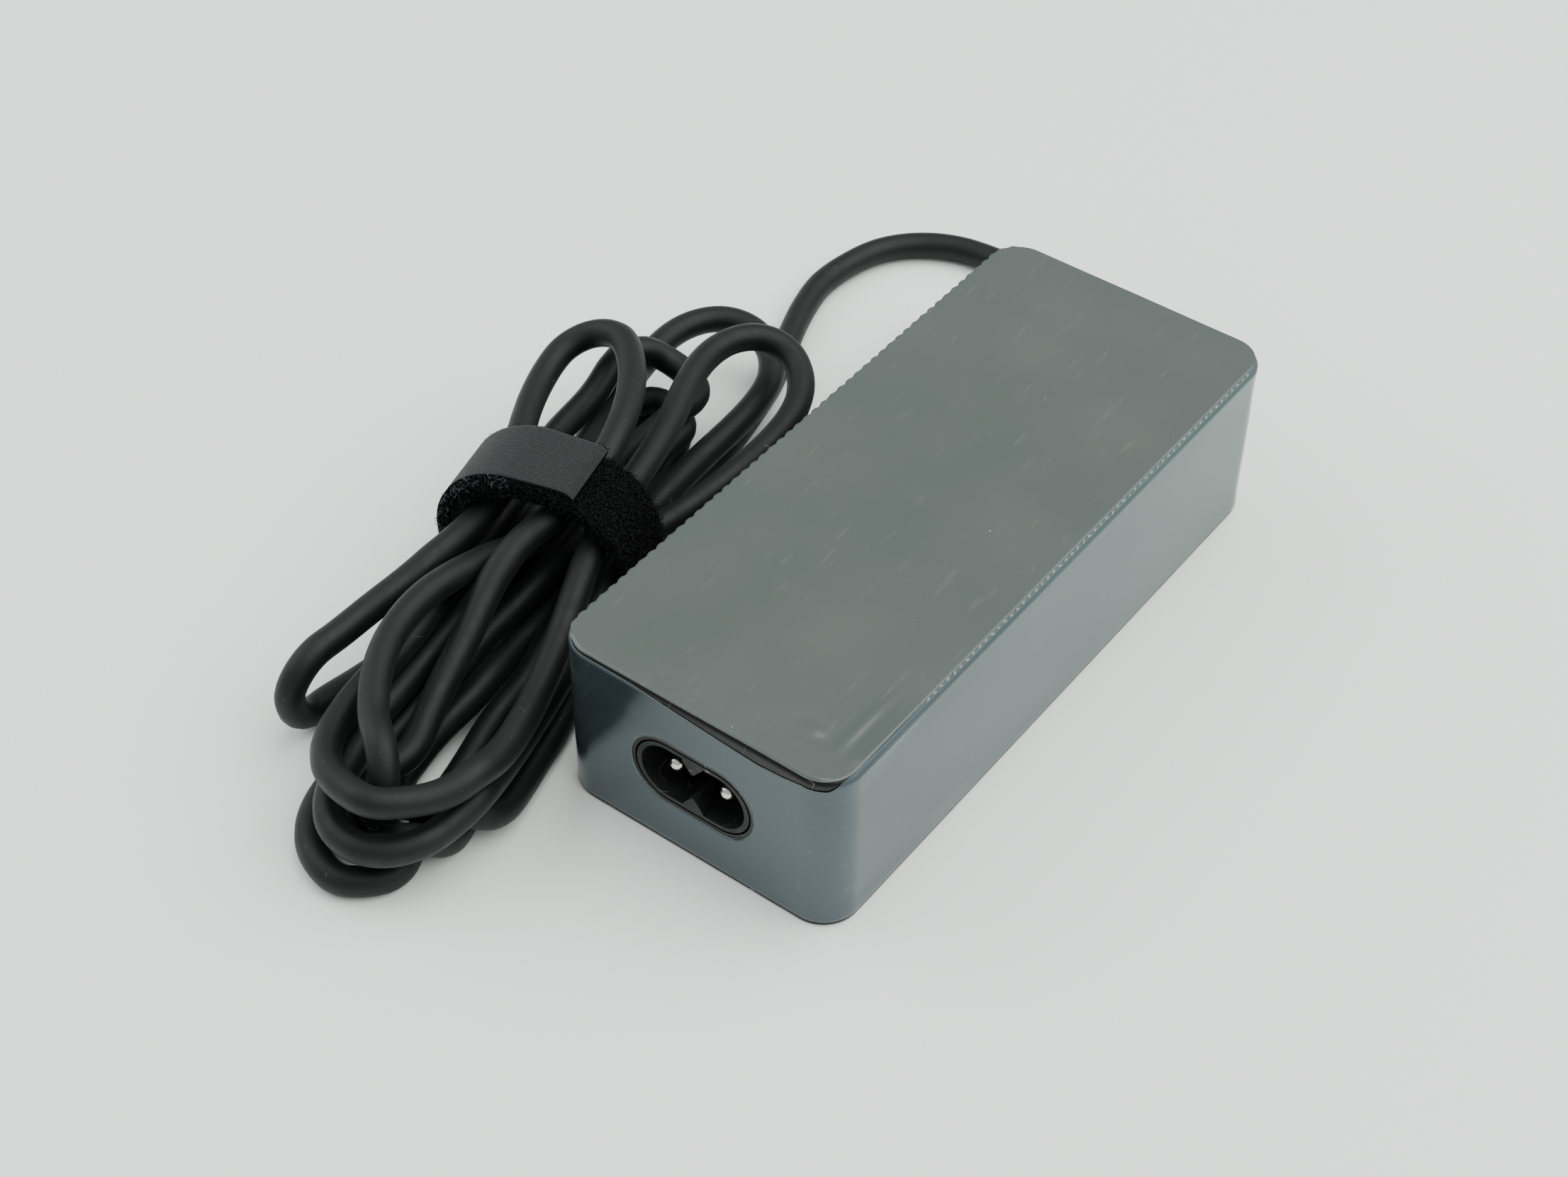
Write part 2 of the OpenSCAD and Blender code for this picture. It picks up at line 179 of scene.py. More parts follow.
# The three uppermost loops, point by point: across, along, height
UPPER_NEAR_LOOP = [
    (-3.8, -8.3, 15), (-6.4, -15, 17), (-8.6, -22, 18.3), (-9.6, -30, 18.6), (-8.6, -37, 18.6),
    (-6.2, -43.4, 18.2), (-3.2, -48.8, 17.2), (-0.2, -53, 15.4), (1.7, -56, 12.4), (1.6, -57, 8.8),
    (-0.2, -55, 5.8), (-1.8, -50, 5.2), (-2, -43.4, 6.6), (-2.2, -38.2, 8.6), (-2.3, -31.3, 11.2),
    (-2, -24.2, 13.9), (-2.4, -15.2, 17.3), (-1.2, -9.5, 19.4),
]
UPPER_FAR_LOOP = [
    (3.2, 11, 21.3), (2.4, 18, 22), (0.4, 25, 22), (-2.6, 31, 21.7), (-6, 35, 21.2), (-10, 37, 20.4),
    (-13.4, 36, 19.2), (-15.5, 31.5, 17.8), (-15.8, 26, 17), (-14.8, 20, 17), (-12.8, 13, 17.2),
]
OUTER_NEAR_LOOP = [
    (-12.4, -15, 15.8), (-16.4, -25, 14.8), (-19, -33, 13.8), (-20.6, -38.5, 12.2), (-21.9, -42, 9.2),
    (-22.2, -42, 5.6), (-21.6, -38, 2.8), (-19.8, -33, 2.2), (-17, -26, 2.2), (-13.5, -17, 3),
    (-10.2, -9, 5.8),
]

# One loop a row, in the cord's own order. tip: how far it reaches along the hank; cap: length of
# its round end; middle, half: its place and half width across; lean: sideways shift of the end;
# z: heights of the left run, the end and the right run; belly: where its two runs pass, across;
# first: the side on which the cord goes out, 1 for right; points: its whole line, given outright.
LOOPS = [
    dict(tip=-52, cap=9, middle=3.5, half=8.5, lean=0, z=(5, 4.5, 2.2), belly=(1, 11), first=1),
    dict(tip=42, cap=10, middle=-3, half=6, lean=0, z=(2.2, 2.2, 2.2), belly=(-7, 2), first=1),
    dict(tip=-62.5, cap=12, middle=-3, half=9.5, lean=0, z=(2.2, 2.2, 2.2), belly=(-9, 3), first=-1),
    dict(tip=60.8, cap=12, middle=2.5, half=9.8, lean=0, z=(9, 9, 6.5), belly=(-6, 9), first=1),
    dict(tip=-62, cap=13, middle=1, half=10, lean=-1, z=(8, 7.5, 7.5), belly=(-8, 11), first=-1),
    dict(tip=51.5, cap=13, middle=13, half=8.2, lean=0, z=(17, 15, 12), belly=(7, 18), first=1),
    dict(tip=-58.5, cap=14, middle=0.8, half=12.2, lean=-1, z=(13, 16.5, 13.5), belly=(-9.5, 11.5),
         first=1),
    dict(tip=45.5, cap=10, middle=-2.6, half=6, lean=2, z=(11, 9, 11), belly=(-12, 1), first=-1),
    dict(tip=-57, points=UPPER_NEAR_LOOP),
    dict(tip=37, points=UPPER_FAR_LOOP),
    dict(tip=-43, points=OUTER_NEAR_LOOP),
    dict(tip=41, cap=9, middle=-3, half=6, lean=0, z=(6.5, 6.5, 6.5), belly=(-7, 2), first=-1),
    dict(tip=-60, cap=10, middle=0, half=7, lean=0, z=(5, 6, 3), belly=(-5, 8.5), first=-1),
]
END_ANGLES = (-75, -45, -15, 15, 45, 75)


def hank_to_world(p):
    across, along, z = p[..., 0], p[..., 1], p[..., 2]
    x = HANK_X + across * math.cos(HANK_TURN) - along * math.sin(HANK_TURN)
    y = HANK_Y + across * math.sin(HANK_TURN) + along * math.cos(HANK_TURN)
    return np.stack([x, y, z], -1)


def world_to_hank(p):
    x, y = p[..., 0] - HANK_X, p[..., 1] - HANK_Y
    across = x * math.cos(HANK_TURN) + y * math.sin(HANK_TURN)
    along = y * math.cos(HANK_TURN) - x * math.sin(HANK_TURN)
    return np.stack([across, along, p[..., 2]], -1)


def run_points(loop, place, side, z):
    """Points of one run, from the strap's edge out to where the loop's end begins."""
    way = 1 if loop["tip"] > 0 else -1
    edge = way * STRAP_HALF
    cap_start = loop["tip"] - way * loop["cap"]
    belly = loop["belly"][0 if side < 0 else 1]
    middle = edge + (cap_start - edge) * 0.55
    start = place[1 if way > 0 else 0]
    start_z = place[2]
    outer = (loop["middle"] + side * loop["half"]) * 0.85 + belly * 0.15
    return [
        (start, edge, start_z),
        (start * 0.45 + belly * 0.55, edge + (middle - edge) * 0.5, start_z * 0.45 + z * 0.55),
        (belly, middle, z * 0.9 + start_z * 0.1),
        (outer, cap_start - (cap_start - middle) * 0.3, z),
    ]


def loop_points(loop, place_in, place_out):
    way = 1 if loop["tip"] > 0 else -1
    if "points" in loop:
        ends = [(place[(way + 1) // 2], way * STRAP_HALF, place[2]) for place in (place_in, place_out)]
        return [ends[0], *loop["points"], ends[1]]
    cap_start = loop["tip"] - way * loop["cap"]
    first = loop["first"]
    z_left, z_tip, z_right = loop["z"]
    z_out, z_back = (z_right, z_left) if first > 0 else (z_left, z_right)
    points = run_points(loop, place_in, first, z_out)
    for angle in END_ANGLES:
        a = math.radians(angle)
        share = math.sin(a) + 1
        z = z_out + (z_tip - z_out) * share if share <= 1 else z_tip + (z_back - z_tip) * (share - 1)
        across = loop["middle"] - first * loop["half"] * math.sin(a) + loop["lean"] * math.cos(a)
        points.append((across, cap_start + way * loop["cap"] * math.cos(a), z))
    return points + run_points(loop, place_out, -first, z_back)[::-1]


def smooth_curve(points, step):
    """Centripetal Catmull-Rom curve through the points."""
    p = np.array(points, float)
    p = np.vstack([2 * p[0] - p[1], p, 2 * p[-1] - p[-2]])
    out = []
    for p0, p1, p2, p3 in zip(p, p[1:], p[2:], p[3:]):
        k1 = np.linalg.norm(p1 - p0) ** 0.5
        k2 = k1 + np.linalg.norm(p2 - p1) ** 0.5
        k3 = k2 + np.linalg.norm(p3 - p2) ** 0.5
        count = max(2, math.ceil(np.linalg.norm(p2 - p1) / step))
        for t in np.linspace(k1, k2, count, endpoint=False):
            a1 = ((k1 - t) * p0 + t * p1) / k1
            a2 = ((k2 - t) * p1 + (t - k1) * p2) / (k2 - k1)
            a3 = ((k3 - t) * p2 + (t - k2) * p3) / (k3 - k2)
            b1 = ((k2 - t) * a1 + t * a2) / k2
            b2 = ((k3 - t) * a2 + (t - k1) * a3) / (k3 - k1)
            out.append(((k2 - t) * b1 + (t - k1) * b2) / (k2 - k1))
    out.append(p[-2])
    return np.array(out)


def along_line(line):
    return np.concatenate([[0], np.cumsum(np.linalg.norm(np.diff(line, axis=0), axis=1))])


def sample(values, at, where):
    return np.stack([np.interp(where, at, values[:, k]) for k in range(values.shape[1])], 1)


# How the cord settles: the ends' lengths that stay put, the tightest bend and the length it is
# measured over, how near two parts may lie, and how strongly each turn corrects each fault
LEAD_FIXED = 118
END_FIXED = 30
SETTLE_STEPS = 400
FOLD_R = 6.2
BEND_REACH = 6.0
CONTACT = CORD_D * 1.02
CONTACT_SEARCH = CORD_D * 1.35
ALONG_APART = CORD_D * 2.6
HOME_PULL = 0.02
BEND_PUSH = 0.25
SMOOTHING = 0.3
CONTACT_PUSH = 1.6
LENGTH_TURNS = 6
TINY = 1e-6

# What the cord stays clear of: the casing's left side, beyond its near end, and the hank's top
BODY_SIDE_X = -26.1
BODY_NEAR_Y = -57.5
HANK_TOP = 22.6
STRAP_REACH = 6.3


def open_bends(p, free, reach, least_chord):
    """Spreads the points where the cord is bent more tightly than it can be."""
    gap = p[2 * reach:] - p[:-2 * reach]
    size = np.linalg.norm(gap, axis=1)
    move = (BEND_PUSH * np.maximum(least_chord - size, 0) / np.maximum(size, TINY))[:, None] * gap
    spread = np.zeros_like(p)
    spread[2 * reach:] += move
    spread[:-2 * reach] -= move
    p += spread * free[:, None]


def smooth_out(p, free):
    curl = np.zeros_like(p)
    curl[1:-1] = (p[2:] + p[:-2]) / 2 - p[1:-1]
    p += SMOOTHING * curl * free[:, None]


def push_apart(p, free, a, b):
    """Moves points a and b apart in each pair where the cord is inside itself."""
    gap = p[a] - p[b]
    size = np.linalg.norm(gap, axis=1)
    hit = size < CONTACT
    push = (0.5 * (CONTACT - size[hit]) / np.maximum(size[hit], TINY))[:, None] * gap[hit]
    total = np.zeros_like(p)
    hits = np.zeros(len(p))
    np.add.at(total, a[hit], push)
    np.add.at(total, b[hit], -push)
    np.add.at(hits, a[hit], 1)
    np.add.at(hits, b[hit], 1)
    p += CONTACT_PUSH * total / np.maximum(hits, 1)[:, None] * free[:, None]


def hold_in_strap(p, free):
    """Keeps the points that pass through the strap inside its rounded outline."""
    middle = np.array([(RING_LO + RING_HI) / 2, (RING_BOTTOM + RING_TOP) / 2])
    half = np.array([(RING_HI - RING_LO) / 2, (RING_TOP - RING_BOTTOM) / 2])
    local = world_to_hank(p)
    inside = (np.abs(local[:, 1]) < STRAP_REACH) & (free > 0)
    away = local[inside][:, [0, 2]] - middle
    ring_r = np.where(away[:, 1] > 0, RING_TOP_R, RING_R)[:, None]
    core = np.clip(away, ring_r - half, half - ring_r)
    rest = away - core
    size = np.maximum(np.linalg.norm(rest, axis=1), TINY)[:, None]
    held = core + rest * np.minimum(1, (ring_r - CORD_D / 2) / size) + middle
    local[inside, 0] = held[:, 0]
    local[inside, 2] = held[:, 1]
    p[inside] = hank_to_world(local[inside])


def keep_clear(p, free):
    """Keeps the cord on the floor, under the hank's top and beside the casing."""
    p[:, 2] = np.where(free > 0, np.clip(p[:, 2], CORD_D / 2, HANK_TOP), p[:, 2])
    beside = (free > 0) & (p[:, 1] > BODY_NEAR_Y) & (p[:, 0] > BODY_SIDE_X)
    p[beside, 0] = BODY_SIDE_X


def keep_length(p, free, step):
    """Brings neighbouring points back to step apart, every other pair at a time."""
    for _ in range(LENGTH_TURNS):
        for odd in (0, 1):
            pairs = (len(p) - odd) // 2
            left = p[odd:odd + 2 * pairs:2]
            right = p[odd + 1:odd + 2 * pairs:2]
            w_left = free[odd:odd + 2 * pairs:2]
            w_right = free[odd + 1:odd + 2 * pairs:2]
            gap = right - left
            size = np.linalg.norm(gap, axis=1)
            share = (size - step) / np.maximum(size, TINY) / np.maximum(w_left + w_right, TINY)
            left += (share * w_left)[:, None] * gap
            right -= (share * w_right)[:, None] * gap


def settle(points, fixed):
    """Moves a row of points, joined as a cord, until no part of the cord is inside another part, the
    floor, the strap or the casing, with its length and its least bend kept."""
    p = points.copy()
    step = along_line(p)[-1] / (len(p) - 1)
    free = np.where(fixed, 0.0, 1.0)
    reach = max(1, round(BEND_REACH / step))
    least_chord = 2 * FOLD_R * math.sin(reach * step / FOLD_R)
    first, second = np.triu_indices(len(p), math.ceil(ALONG_APART / step))
    for turn in range(SETTLE_STEPS):
        p += (HOME_PULL * (1 - turn / SETTLE_STEPS) * free)[:, None] * (points - p)
        open_bends(p, free, reach, least_chord)
        if turn % 2 == 0:
            smooth_out(p, free)
        if turn % 4 == 0:
            gap = p[first] - p[second]
            close = (gap * gap).sum(1) < CONTACT_SEARCH ** 2
            a, b = first[close], second[close]
        push_apart(p, free, a, b)
        hold_in_strap(p, free)
        keep_clear(p, free)
        keep_length(p, free, step)
    return p


def cord_line():
    """Centreline of the whole cord, in millimetres."""
    stretches = [np.array(LEAD_ROUTE, float)]
    for i, loop in enumerate(LOOPS):
        stretches.append(hank_to_world(np.array(loop_points(loop, PASSES[i], PASSES[i + 1]), float)))
    stretches.append(np.array(END_ROUTE, float))
    line = smooth_curve(np.concatenate(stretches), 1.0)
    at = along_line(line)
    where = np.linspace(0, at[-1], round(at[-1] / CORD_STEP) + 1)
    fixed = (where < LEAD_FIXED) | (where > at[-1] - END_FIXED)
    return settle(sample(line, at, where), fixed)


def make_cord():
    """The cord as a round curve, kept on the floor where its smoothing dips."""
    line = smooth_curve(cord_line(), CORD_STEP / 2)
    line[:, 2] = np.maximum(line[:, 2], CORD_D / 2)
    line *= MM
    data = bpy.data.curves.new("output_cord", "CURVE")
    data.dimensions = "3D"
    data.bevel_depth = CORD_D / 2 * MM
    data.bevel_resolution = 5
    data.use_fill_caps = True
    spline = data.splines.new("POLY")
    spline.points.add(len(line) - 1)
    spline.points.foreach_set("co", np.hstack([line, np.ones((len(line), 1))]).ravel())
    spline.use_smooth = True
    return add_object("output_cord", data)


cord = make_cord()


# ---- materials ----

DUST = (0.62, 0.64, 0.63)


def rgba(value):
    return value if isinstance(value, bpy.types.NodeSocket) else (*value, 1.0)


class Shader:
    """A Principled material and the nodes that vary its colour, gloss and surface. Lengths are in
    millimetres."""

    def __init__(self, name, rough, metallic=0.0, ior=1.5, coat=0.0, coat_rough=0.1, sheen=0.0):
        self.material = bpy.data.materials.new(name + "_look")
        self.material.use_nodes = True
        self.nodes = self.material.node_tree.nodes
        self.links = self.material.node_tree.links
        self.bsdf = self.nodes["Principled BSDF"]
        values = {
            "Roughness": rough, "Metallic": metallic, "IOR": ior, "Coat Weight": coat,
            "Coat Roughness": coat_rough, "Sheen Weight": sheen, "Sheen Roughness": 0.5,
        }
        for key, value in values.items():
            self.bsdf.inputs[key].default_value = value
        self.place = self.nodes.new("ShaderNodeTexCoord").outputs["Object"]

    def join(self, value, socket):
        if isinstance(value, bpy.types.NodeSocket):
            self.links.new(value, socket)
        else:
            socket.default_value = value

    def node(self, kind, inputs, **settings):
        """Adds a node, with its inputs set to values or joined to other nodes' outputs."""
        made = self.nodes.new(kind)
        for key, value in settings.items():
            setattr(made, key, value)
        for key, value in inputs.items():
            self.join(value, made.inputs[key])
        return made

    def math(self, operation, a, b=0.0):
        return self.node("ShaderNodeMath", {0: a, 1: b}, operation=operation).outputs[0]

    def stretch(self, scale, turn=0.0, source=None):
        inputs = {"Vector": source or self.place, "Scale": scale, "Rotation": (0, 0, turn)}
        return self.node("ShaderNodeMapping", inputs).outputs[0]

    def noise(self, size, detail=3.0, rough=0.55, place=None):
        """Noise whose features are about size wide."""
        inputs = {
            "Vector": place or self.place, "Scale": 1 / (size * MM), "Detail": detail, "Roughness": rough,
        }
        return self.node("ShaderNodeTexNoise", inputs).outputs["Fac"]

    def cells(self, size, feature="F1"):
        inputs = {"Vector": self.place, "Scale": 1 / (size * MM)}
        return self.node("ShaderNodeTexVoronoi", inputs, feature=feature)

    def span(self, value, from_lo, from_hi, to_lo=0.0, to_hi=1.0):
        """Value taken from one range to another, and held at its ends."""
        inputs = {0: value, 1: from_lo, 2: from_hi, 3: to_lo, 4: to_hi}
        return self.node("ShaderNodeMapRange", inputs, clamp=True).outputs[0]

    def mix(self, share, a, b):
        inputs = {0: share, 6: rgba(a), 7: rgba(b)}
        return self.node("ShaderNodeMix", inputs, data_type="RGBA").outputs[2]

    def specks(self, spacing, size, share):
        """White where a dust speck lies. share says in how many of the cells there is one."""
        grid = self.cells(spacing)
        near = self.math("LESS_THAN", grid.outputs["Distance"], size / spacing)
        parts = self.node("ShaderNodeSeparateColor", {0: grid.outputs["Color"]})
        chosen = self.math("LESS_THAN", parts.outputs[0], share)
        return self.math("MULTIPLY", near, chosen)

    def hairlines(self, size, width, share, place=None):
        """Fine broken lines, along the level lines of a noise."""
        line = self.math("ABSOLUTE", self.math("SUBTRACT", self.noise(size, 1.0, 0.4, place), 0.5))
        thin = self.span(line, 0.0, width, 1.0, 0.0)
        broken = self.span(self.noise(size * 0.45, 2.0), 0.62 - share, 0.66 - share)
        return self.math("MULTIPLY", thin, broken)

    def dusty(self, base, mask, share):
        return self.mix(self.math("MULTIPLY", mask, share), base, DUST)

    def colour(self, value):
        self.join(rgba(value), self.bsdf.inputs["Base Color"])

    def rough(self, value):
        self.join(value, self.bsdf.inputs["Roughness"])

    def bump(self, height, depth):
        made = self.node("ShaderNodeBump", {"Strength": 1.0, "Distance": depth * MM, "Height": height})
        self.join(made.outputs[0], self.bsdf.inputs["Normal"])
        if self.bsdf.inputs["Coat Weight"].default_value > 0:
            self.join(made.outputs[0], self.bsdf.inputs["Coat Normal"])


def plastic(name, dark, light, rough, grain=0.35, depth=0.012, dust=0.25, **settings):
    """Moulded plastic: fine grain, patchy gloss, light scuffs and a little dust."""
    s = Shader(name, rough, **settings)
    base = s.mix(s.span(s.noise(6, 4), 0.3, 0.7), dark, light)
    base = s.dusty(base, s.hairlines(5, 0.004, 0.1), 0.25)
    base = s.dusty(base, s.specks(1.4, 0.06, dust), 0.6)
    s.colour(base)
    s.rough(s.span(s.noise(2.5, 4), 0.3, 0.7, rough * 0.85, min(1.0, rough * 1.2)))
    s.bump(s.noise(grain, 2), depth)
    return s.material


def metal(name, dark, light, rough):
    """Drawn or plated metal with fine upright lines."""
    s = Shader(name, rough, metallic=1.0)
    lines = s.noise(0.2, 3, place=s.stretch((1 / 0.3, 1 / 0.3, 1 / 4.0)))
    s.colour(s.mix(s.span(lines, 0.3, 0.7), dark, light))
    s.rough(s.span(s.noise(1.5, 3), 0.3, 0.7, rough * 0.7, min(1.0, rough * 1.4)))
    s.bump(lines, 0.004)
    return s.material


def board(name, dark, light):
    """Solder mask over a glass weave, with a few bright pads."""
    s = Shader(name, 0.35, coat=0.4)
    weave = s.node("ShaderNodeTexChecker", {"Vector": s.place, "Scale": 1400})
    tracks = s.span(s.cells(3.2, "DISTANCE_TO_EDGE").outputs["Distance"], 0.06, 0.08)
    base = s.mix(s.math("MULTIPLY", weave.outputs["Fac"], 0.25), dark, light)
    base = s.mix(s.math("MULTIPLY", tracks, 0.5), light, base)
    s.colour(base)
    s.bump(tracks, 0.02)
    return s.material


def wound(name, dark, light, rough, pitch=0.45, metallic=0.0):
    """Enamelled wire or tape laid in neat turns."""
    s = Shader(name, rough, metallic=metallic)
    inputs = {"Vector": s.stretch((0.3, 0.3, 1.3)), "Scale": 0.35 / (pitch * MM), "Distortion": 0.4}
    wave = s.node("ShaderNodeTexWave", inputs, wave_type="BANDS", bands_direction="DIAGONAL")
    s.colour(s.mix(wave.outputs["Fac"], dark, light))
    s.bump(wave.outputs["Fac"], 0.08)
    return s.material


def cord_rubber():
    """Soft satin jacket of the cord, with fine dust and lint on it."""
    s = Shader("cord_rubber", 0.55, ior=1.36, sheen=0.02)
    s.bsdf.inputs["Sheen Tint"].default_value = (0.75, 0.85, 0.82, 1)
    base = s.mix(s.span(s.noise(9, 4), 0.3, 0.7), (0.0022, 0.003, 0.0029), (0.0045, 0.0056, 0.0054))
    base = s.dusty(base, s.specks(1.1, 0.04, 0.2), 0.35)
    base = s.dusty(base, s.specks(4.2, 0.075, 0.3), 0.5)
    base = s.dusty(base, s.hairlines(7, 0.002, -0.05), 0.15)
    s.colour(base)
    s.rough(s.span(s.noise(3, 4), 0.3, 0.7, 0.5, 0.6))
    s.bump(s.noise(0.16, 2), 0.003)
    return s.material


def film(name, dark, light, ior, depth, coat=0.0):
    """Clear shipping film over black plastic: hazy and glossy, with scratches and dust. Returns the
    shader, whose gloss is still to be set."""
    s = Shader(name, 0.3, ior=ior, coat=coat, coat_rough=0.05)
    base = s.mix(s.span(s.noise(22, 3, 0.5), 0.3, 0.7), dark, light)
    streaks = s.noise(1.2, 3, 0.6, s.stretch((1.0, 0.15, 1.0), 0.5))
    base = s.mix(s.span(streaks, 0.62, 0.9, 0, 0.08), base, DUST)
    for size, turn in ((9, 0.0), (5, 0.9)):
        lines = s.hairlines(size, 0.0016, -0.02, s.stretch((1.0, 0.45, 1.0), turn))
        base = s.dusty(base, lines, 0.07)
    base = s.dusty(base, s.specks(1.3, 0.045, 0.16), 0.5)
    base = s.dusty(base, s.specks(5.5, 0.10, 0.3), 0.7)
    s.colour(base)
    s.bump(s.noise(16, 1), depth)
    return s


def top_film_look():
    """The top film has a softer sheen than the side film."""
    s = film("top_film", (0.054, 0.070, 0.063), (0.065, 0.081, 0.073), 1.5, 0.03, coat=0.2)
    s.rough(s.span(s.noise(14, 4), 0.3, 0.7, 0.32, 0.4))
    return s.material


def side_film_look():
    """The side film is bluer and less glossy towards the near end, and dull on its rounded top edge."""
    s = film("side_film", (0.017, 0.025, 0.028), (0.025, 0.034, 0.037), 1.95, 0.02)
    parts = s.node("ShaderNodeSeparateXYZ", {0: s.place})
    far = s.span(parts.outputs["Y"], -0.055, 0.02)
    s.join(s.span(far, 0, 1, 0.37, 0.45), s.bsdf.inputs["Specular IOR Level"])
    s.join(s.mix(far, (0.66, 0.81, 0.93), (0.66, 1.0, 0.94)), s.bsdf.inputs["Specular Tint"])
    dull = s.span(parts.outputs["Z"], 0.0271, 0.0277, 0, 0.55)
    s.rough(s.math("MAXIMUM", s.span(s.noise(14, 4), 0.3, 0.7, 0.12, 0.16), dull))
    return s.material


def film_edge():
    """Cut edge of the film, where it glows with the light inside it."""
    s = Shader("film_edge", 0.3, ior=1.45)
    s.colour(s.mix(s.noise(1.2, 2), (0.14, 0.16, 0.155), (0.30, 0.32, 0.315)))
    s.bump(s.noise(0.4, 2), 0.01)
    return s.material


def strap_weave():
    """Smooth knitted back of the hook-and-loop strap."""
    s = Shader("strap_weave", 0.8, ior=1.3, sheen=0.08)
    s.bsdf.inputs["Sheen Tint"].default_value = (0.8, 0.88, 0.88, 1)
    place = s.node("ShaderNodeUVMap", {}).outputs[0]
    inputs = {"Vector": place, "Scale": 0.75, "Distortion": 2.2, "Detail": 2.5, "Detail Scale": 2.0}
    rib = s.node("ShaderNodeTexWave", inputs, wave_type="BANDS", bands_direction="Y")
    inputs = {"Vector": s.stretch((1.0, 1.9, 1.0), source=place), "Scale": 2.6}
    knit = s.node("ShaderNodeTexVoronoi", inputs)
    height = s.math("ADD", s.math("MULTIPLY", rib.outputs["Fac"], 0.6), knit.outputs["Distance"])
    base = s.mix(s.span(height, 0.2, 1.2), (0.005, 0.0065, 0.0062), (0.021, 0.025, 0.0245))
    base = s.dusty(base, s.specks(2.5, 0.08, 0.2), 0.6)
    s.colour(base)
    s.bump(height, 0.09)
    return s.material


def strap_pile():
    """Black looped pile of the strap."""
    s = Shader("strap_pile", 1.0, ior=1.15)
    loops = s.cells(0.5)
    fuzz = s.noise(0.35, 4, 0.7)
    height = s.math("ADD", loops.outputs["Distance"], fuzz)
    base = s.mix(s.span(height, 0.5, 1.5), (0.0008, 0.0008, 0.001), (0.006, 0.0063, 0.007))
    s.colour(base)
    s.bump(height, 0.3)
    return s.material


LOOKS = {
    "casing": plastic(
        "casing", (0.002, 0.0022, 0.0022), (0.0035, 0.0038, 0.0038), 0.3, depth=0.003, ior=1.35,
    ),
    "socket_plastic": plastic(
        "socket", (0.0035, 0.004, 0.004), (0.006, 0.0065, 0.0065), 0.5,
        grain=0.12, depth=0.004, ior=1.4,
    ),
    "pin_metal": metal("pin", (0.55, 0.53, 0.49), (0.78, 0.76, 0.72), 0.16),
    "plug_steel": metal("plug_steel", (0.5, 0.5, 0.51), (0.72, 0.72, 0.73), 0.28),
    "gold": metal("gold", (0.62, 0.42, 0.13), (0.85, 0.62, 0.25), 0.25),
    "heatsink": metal("heatsink", (0.42, 0.43, 0.44), (0.62, 0.63, 0.64), 0.45),
    "circuit_board": board("circuit_board", (0.012, 0.07, 0.035), (0.03, 0.13, 0.06)),
    "component_black": plastic("component_black", (0.012, 0.012, 0.013), (0.02, 0.02, 0.021), 0.5),
    "component_brown": plastic(
        "component_brown", (0.16, 0.07, 0.03), (0.22, 0.1, 0.045), 0.35, coat=0.3,
    ),
    "component_yellow": plastic("component_yellow", (0.62, 0.45, 0.06), (0.75, 0.56, 0.1), 0.4),
    "component_blue": plastic(
        "component_blue", (0.03, 0.12, 0.35), (0.05, 0.18, 0.45), 0.35, coat=0.3,
    ),
    "component_white": plastic("component_white", (0.62, 0.62, 0.6), (0.75, 0.75, 0.73), 0.5),
    "capacitor_sleeve": plastic("sleeve", (0.015, 0.02, 0.05), (0.025, 0.03, 0.07), 0.25, coat=0.4),
    "ferrite": plastic(
        "ferrite", (0.03, 0.03, 0.032), (0.055, 0.055, 0.058), 0.6, grain=0.2, depth=0.03,
    ),
    "copper_wire": wound("copper", (0.42, 0.16, 0.07), (0.75, 0.36, 0.19), 0.3, metallic=1.0),
    "wire_red": wound("wire", (0.4, 0.02, 0.015), (0.55, 0.04, 0.03), 0.4, pitch=1.0),
    "cord_rubber": cord_rubber(),
    "strap_pile": strap_pile(),
    "strap_weave": strap_weave(),
    "film": side_film_look(),
}
TOP_FILM_LOOK = top_film_look()
EDGE_LOOK = film_edge()


def dress_nodes():
    """Gives each CAD node the look of the material that the record names for it."""
    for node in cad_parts.values():
        for slot in node.material_slots:
            slot.material = LOOKS[slot.material.name.split(".")[0]]


dress_nodes()


# ---- shipping film: the side film runs up the walls and over the rounded top edge ----

film_lo, film_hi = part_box("side_film")
FILM_T = 0.12
FILM_X = film_hi.x / MM
FILM_Y = film_hi.y / MM
FILM_R = 5.5
TOP_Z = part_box("top_film")[1].z / MM
EDGE_R = 0.95
FILM_BOTTOM = film_lo.z / MM
UPRIGHT = TOP_Z - EDGE_R - FILM_BOTTOM
FULL_HEIGHT = UPRIGHT + EDGE_R * math.pi / 2

# The openings' heights, and their half widths and half heights
INLET_Z = 14.2
INLET_CUT = (10.3, 6.1)
EXIT_CUT = (5.0, 5.0)

# The slit under the top film: how far down it goes, along the near edge and round the right corner
SLIT_X = (-20, -10, -2, 6.5, 11, 15, 18)
SLIT_DEPTH = (0.95, 1.1, 1.9, 2.6, 2.9, 2.6, 2.1)
CORNER_SLIT = 1.9
LEFT_SLIT = 0.95
CORNER_GAP = 0.3
EDGE_GAP = 0.12

# Where and how far the right top edge's film is lifted, and the dent in the top film
FOLD_START = -49.4
FOLD_END = -34.5
FOLD_OUT = 0.30
FOLD_UP = 0.42
DENT = (14.5, -47.3)

# How far the top film stays inside the side film, and how high it lies above the casing
TOP_INSET_X = 0.62
TOP_INSET_Y = 0.3
TOP_INSET_R = 0.6
TOP_LIFT = FILM_T + 0.04


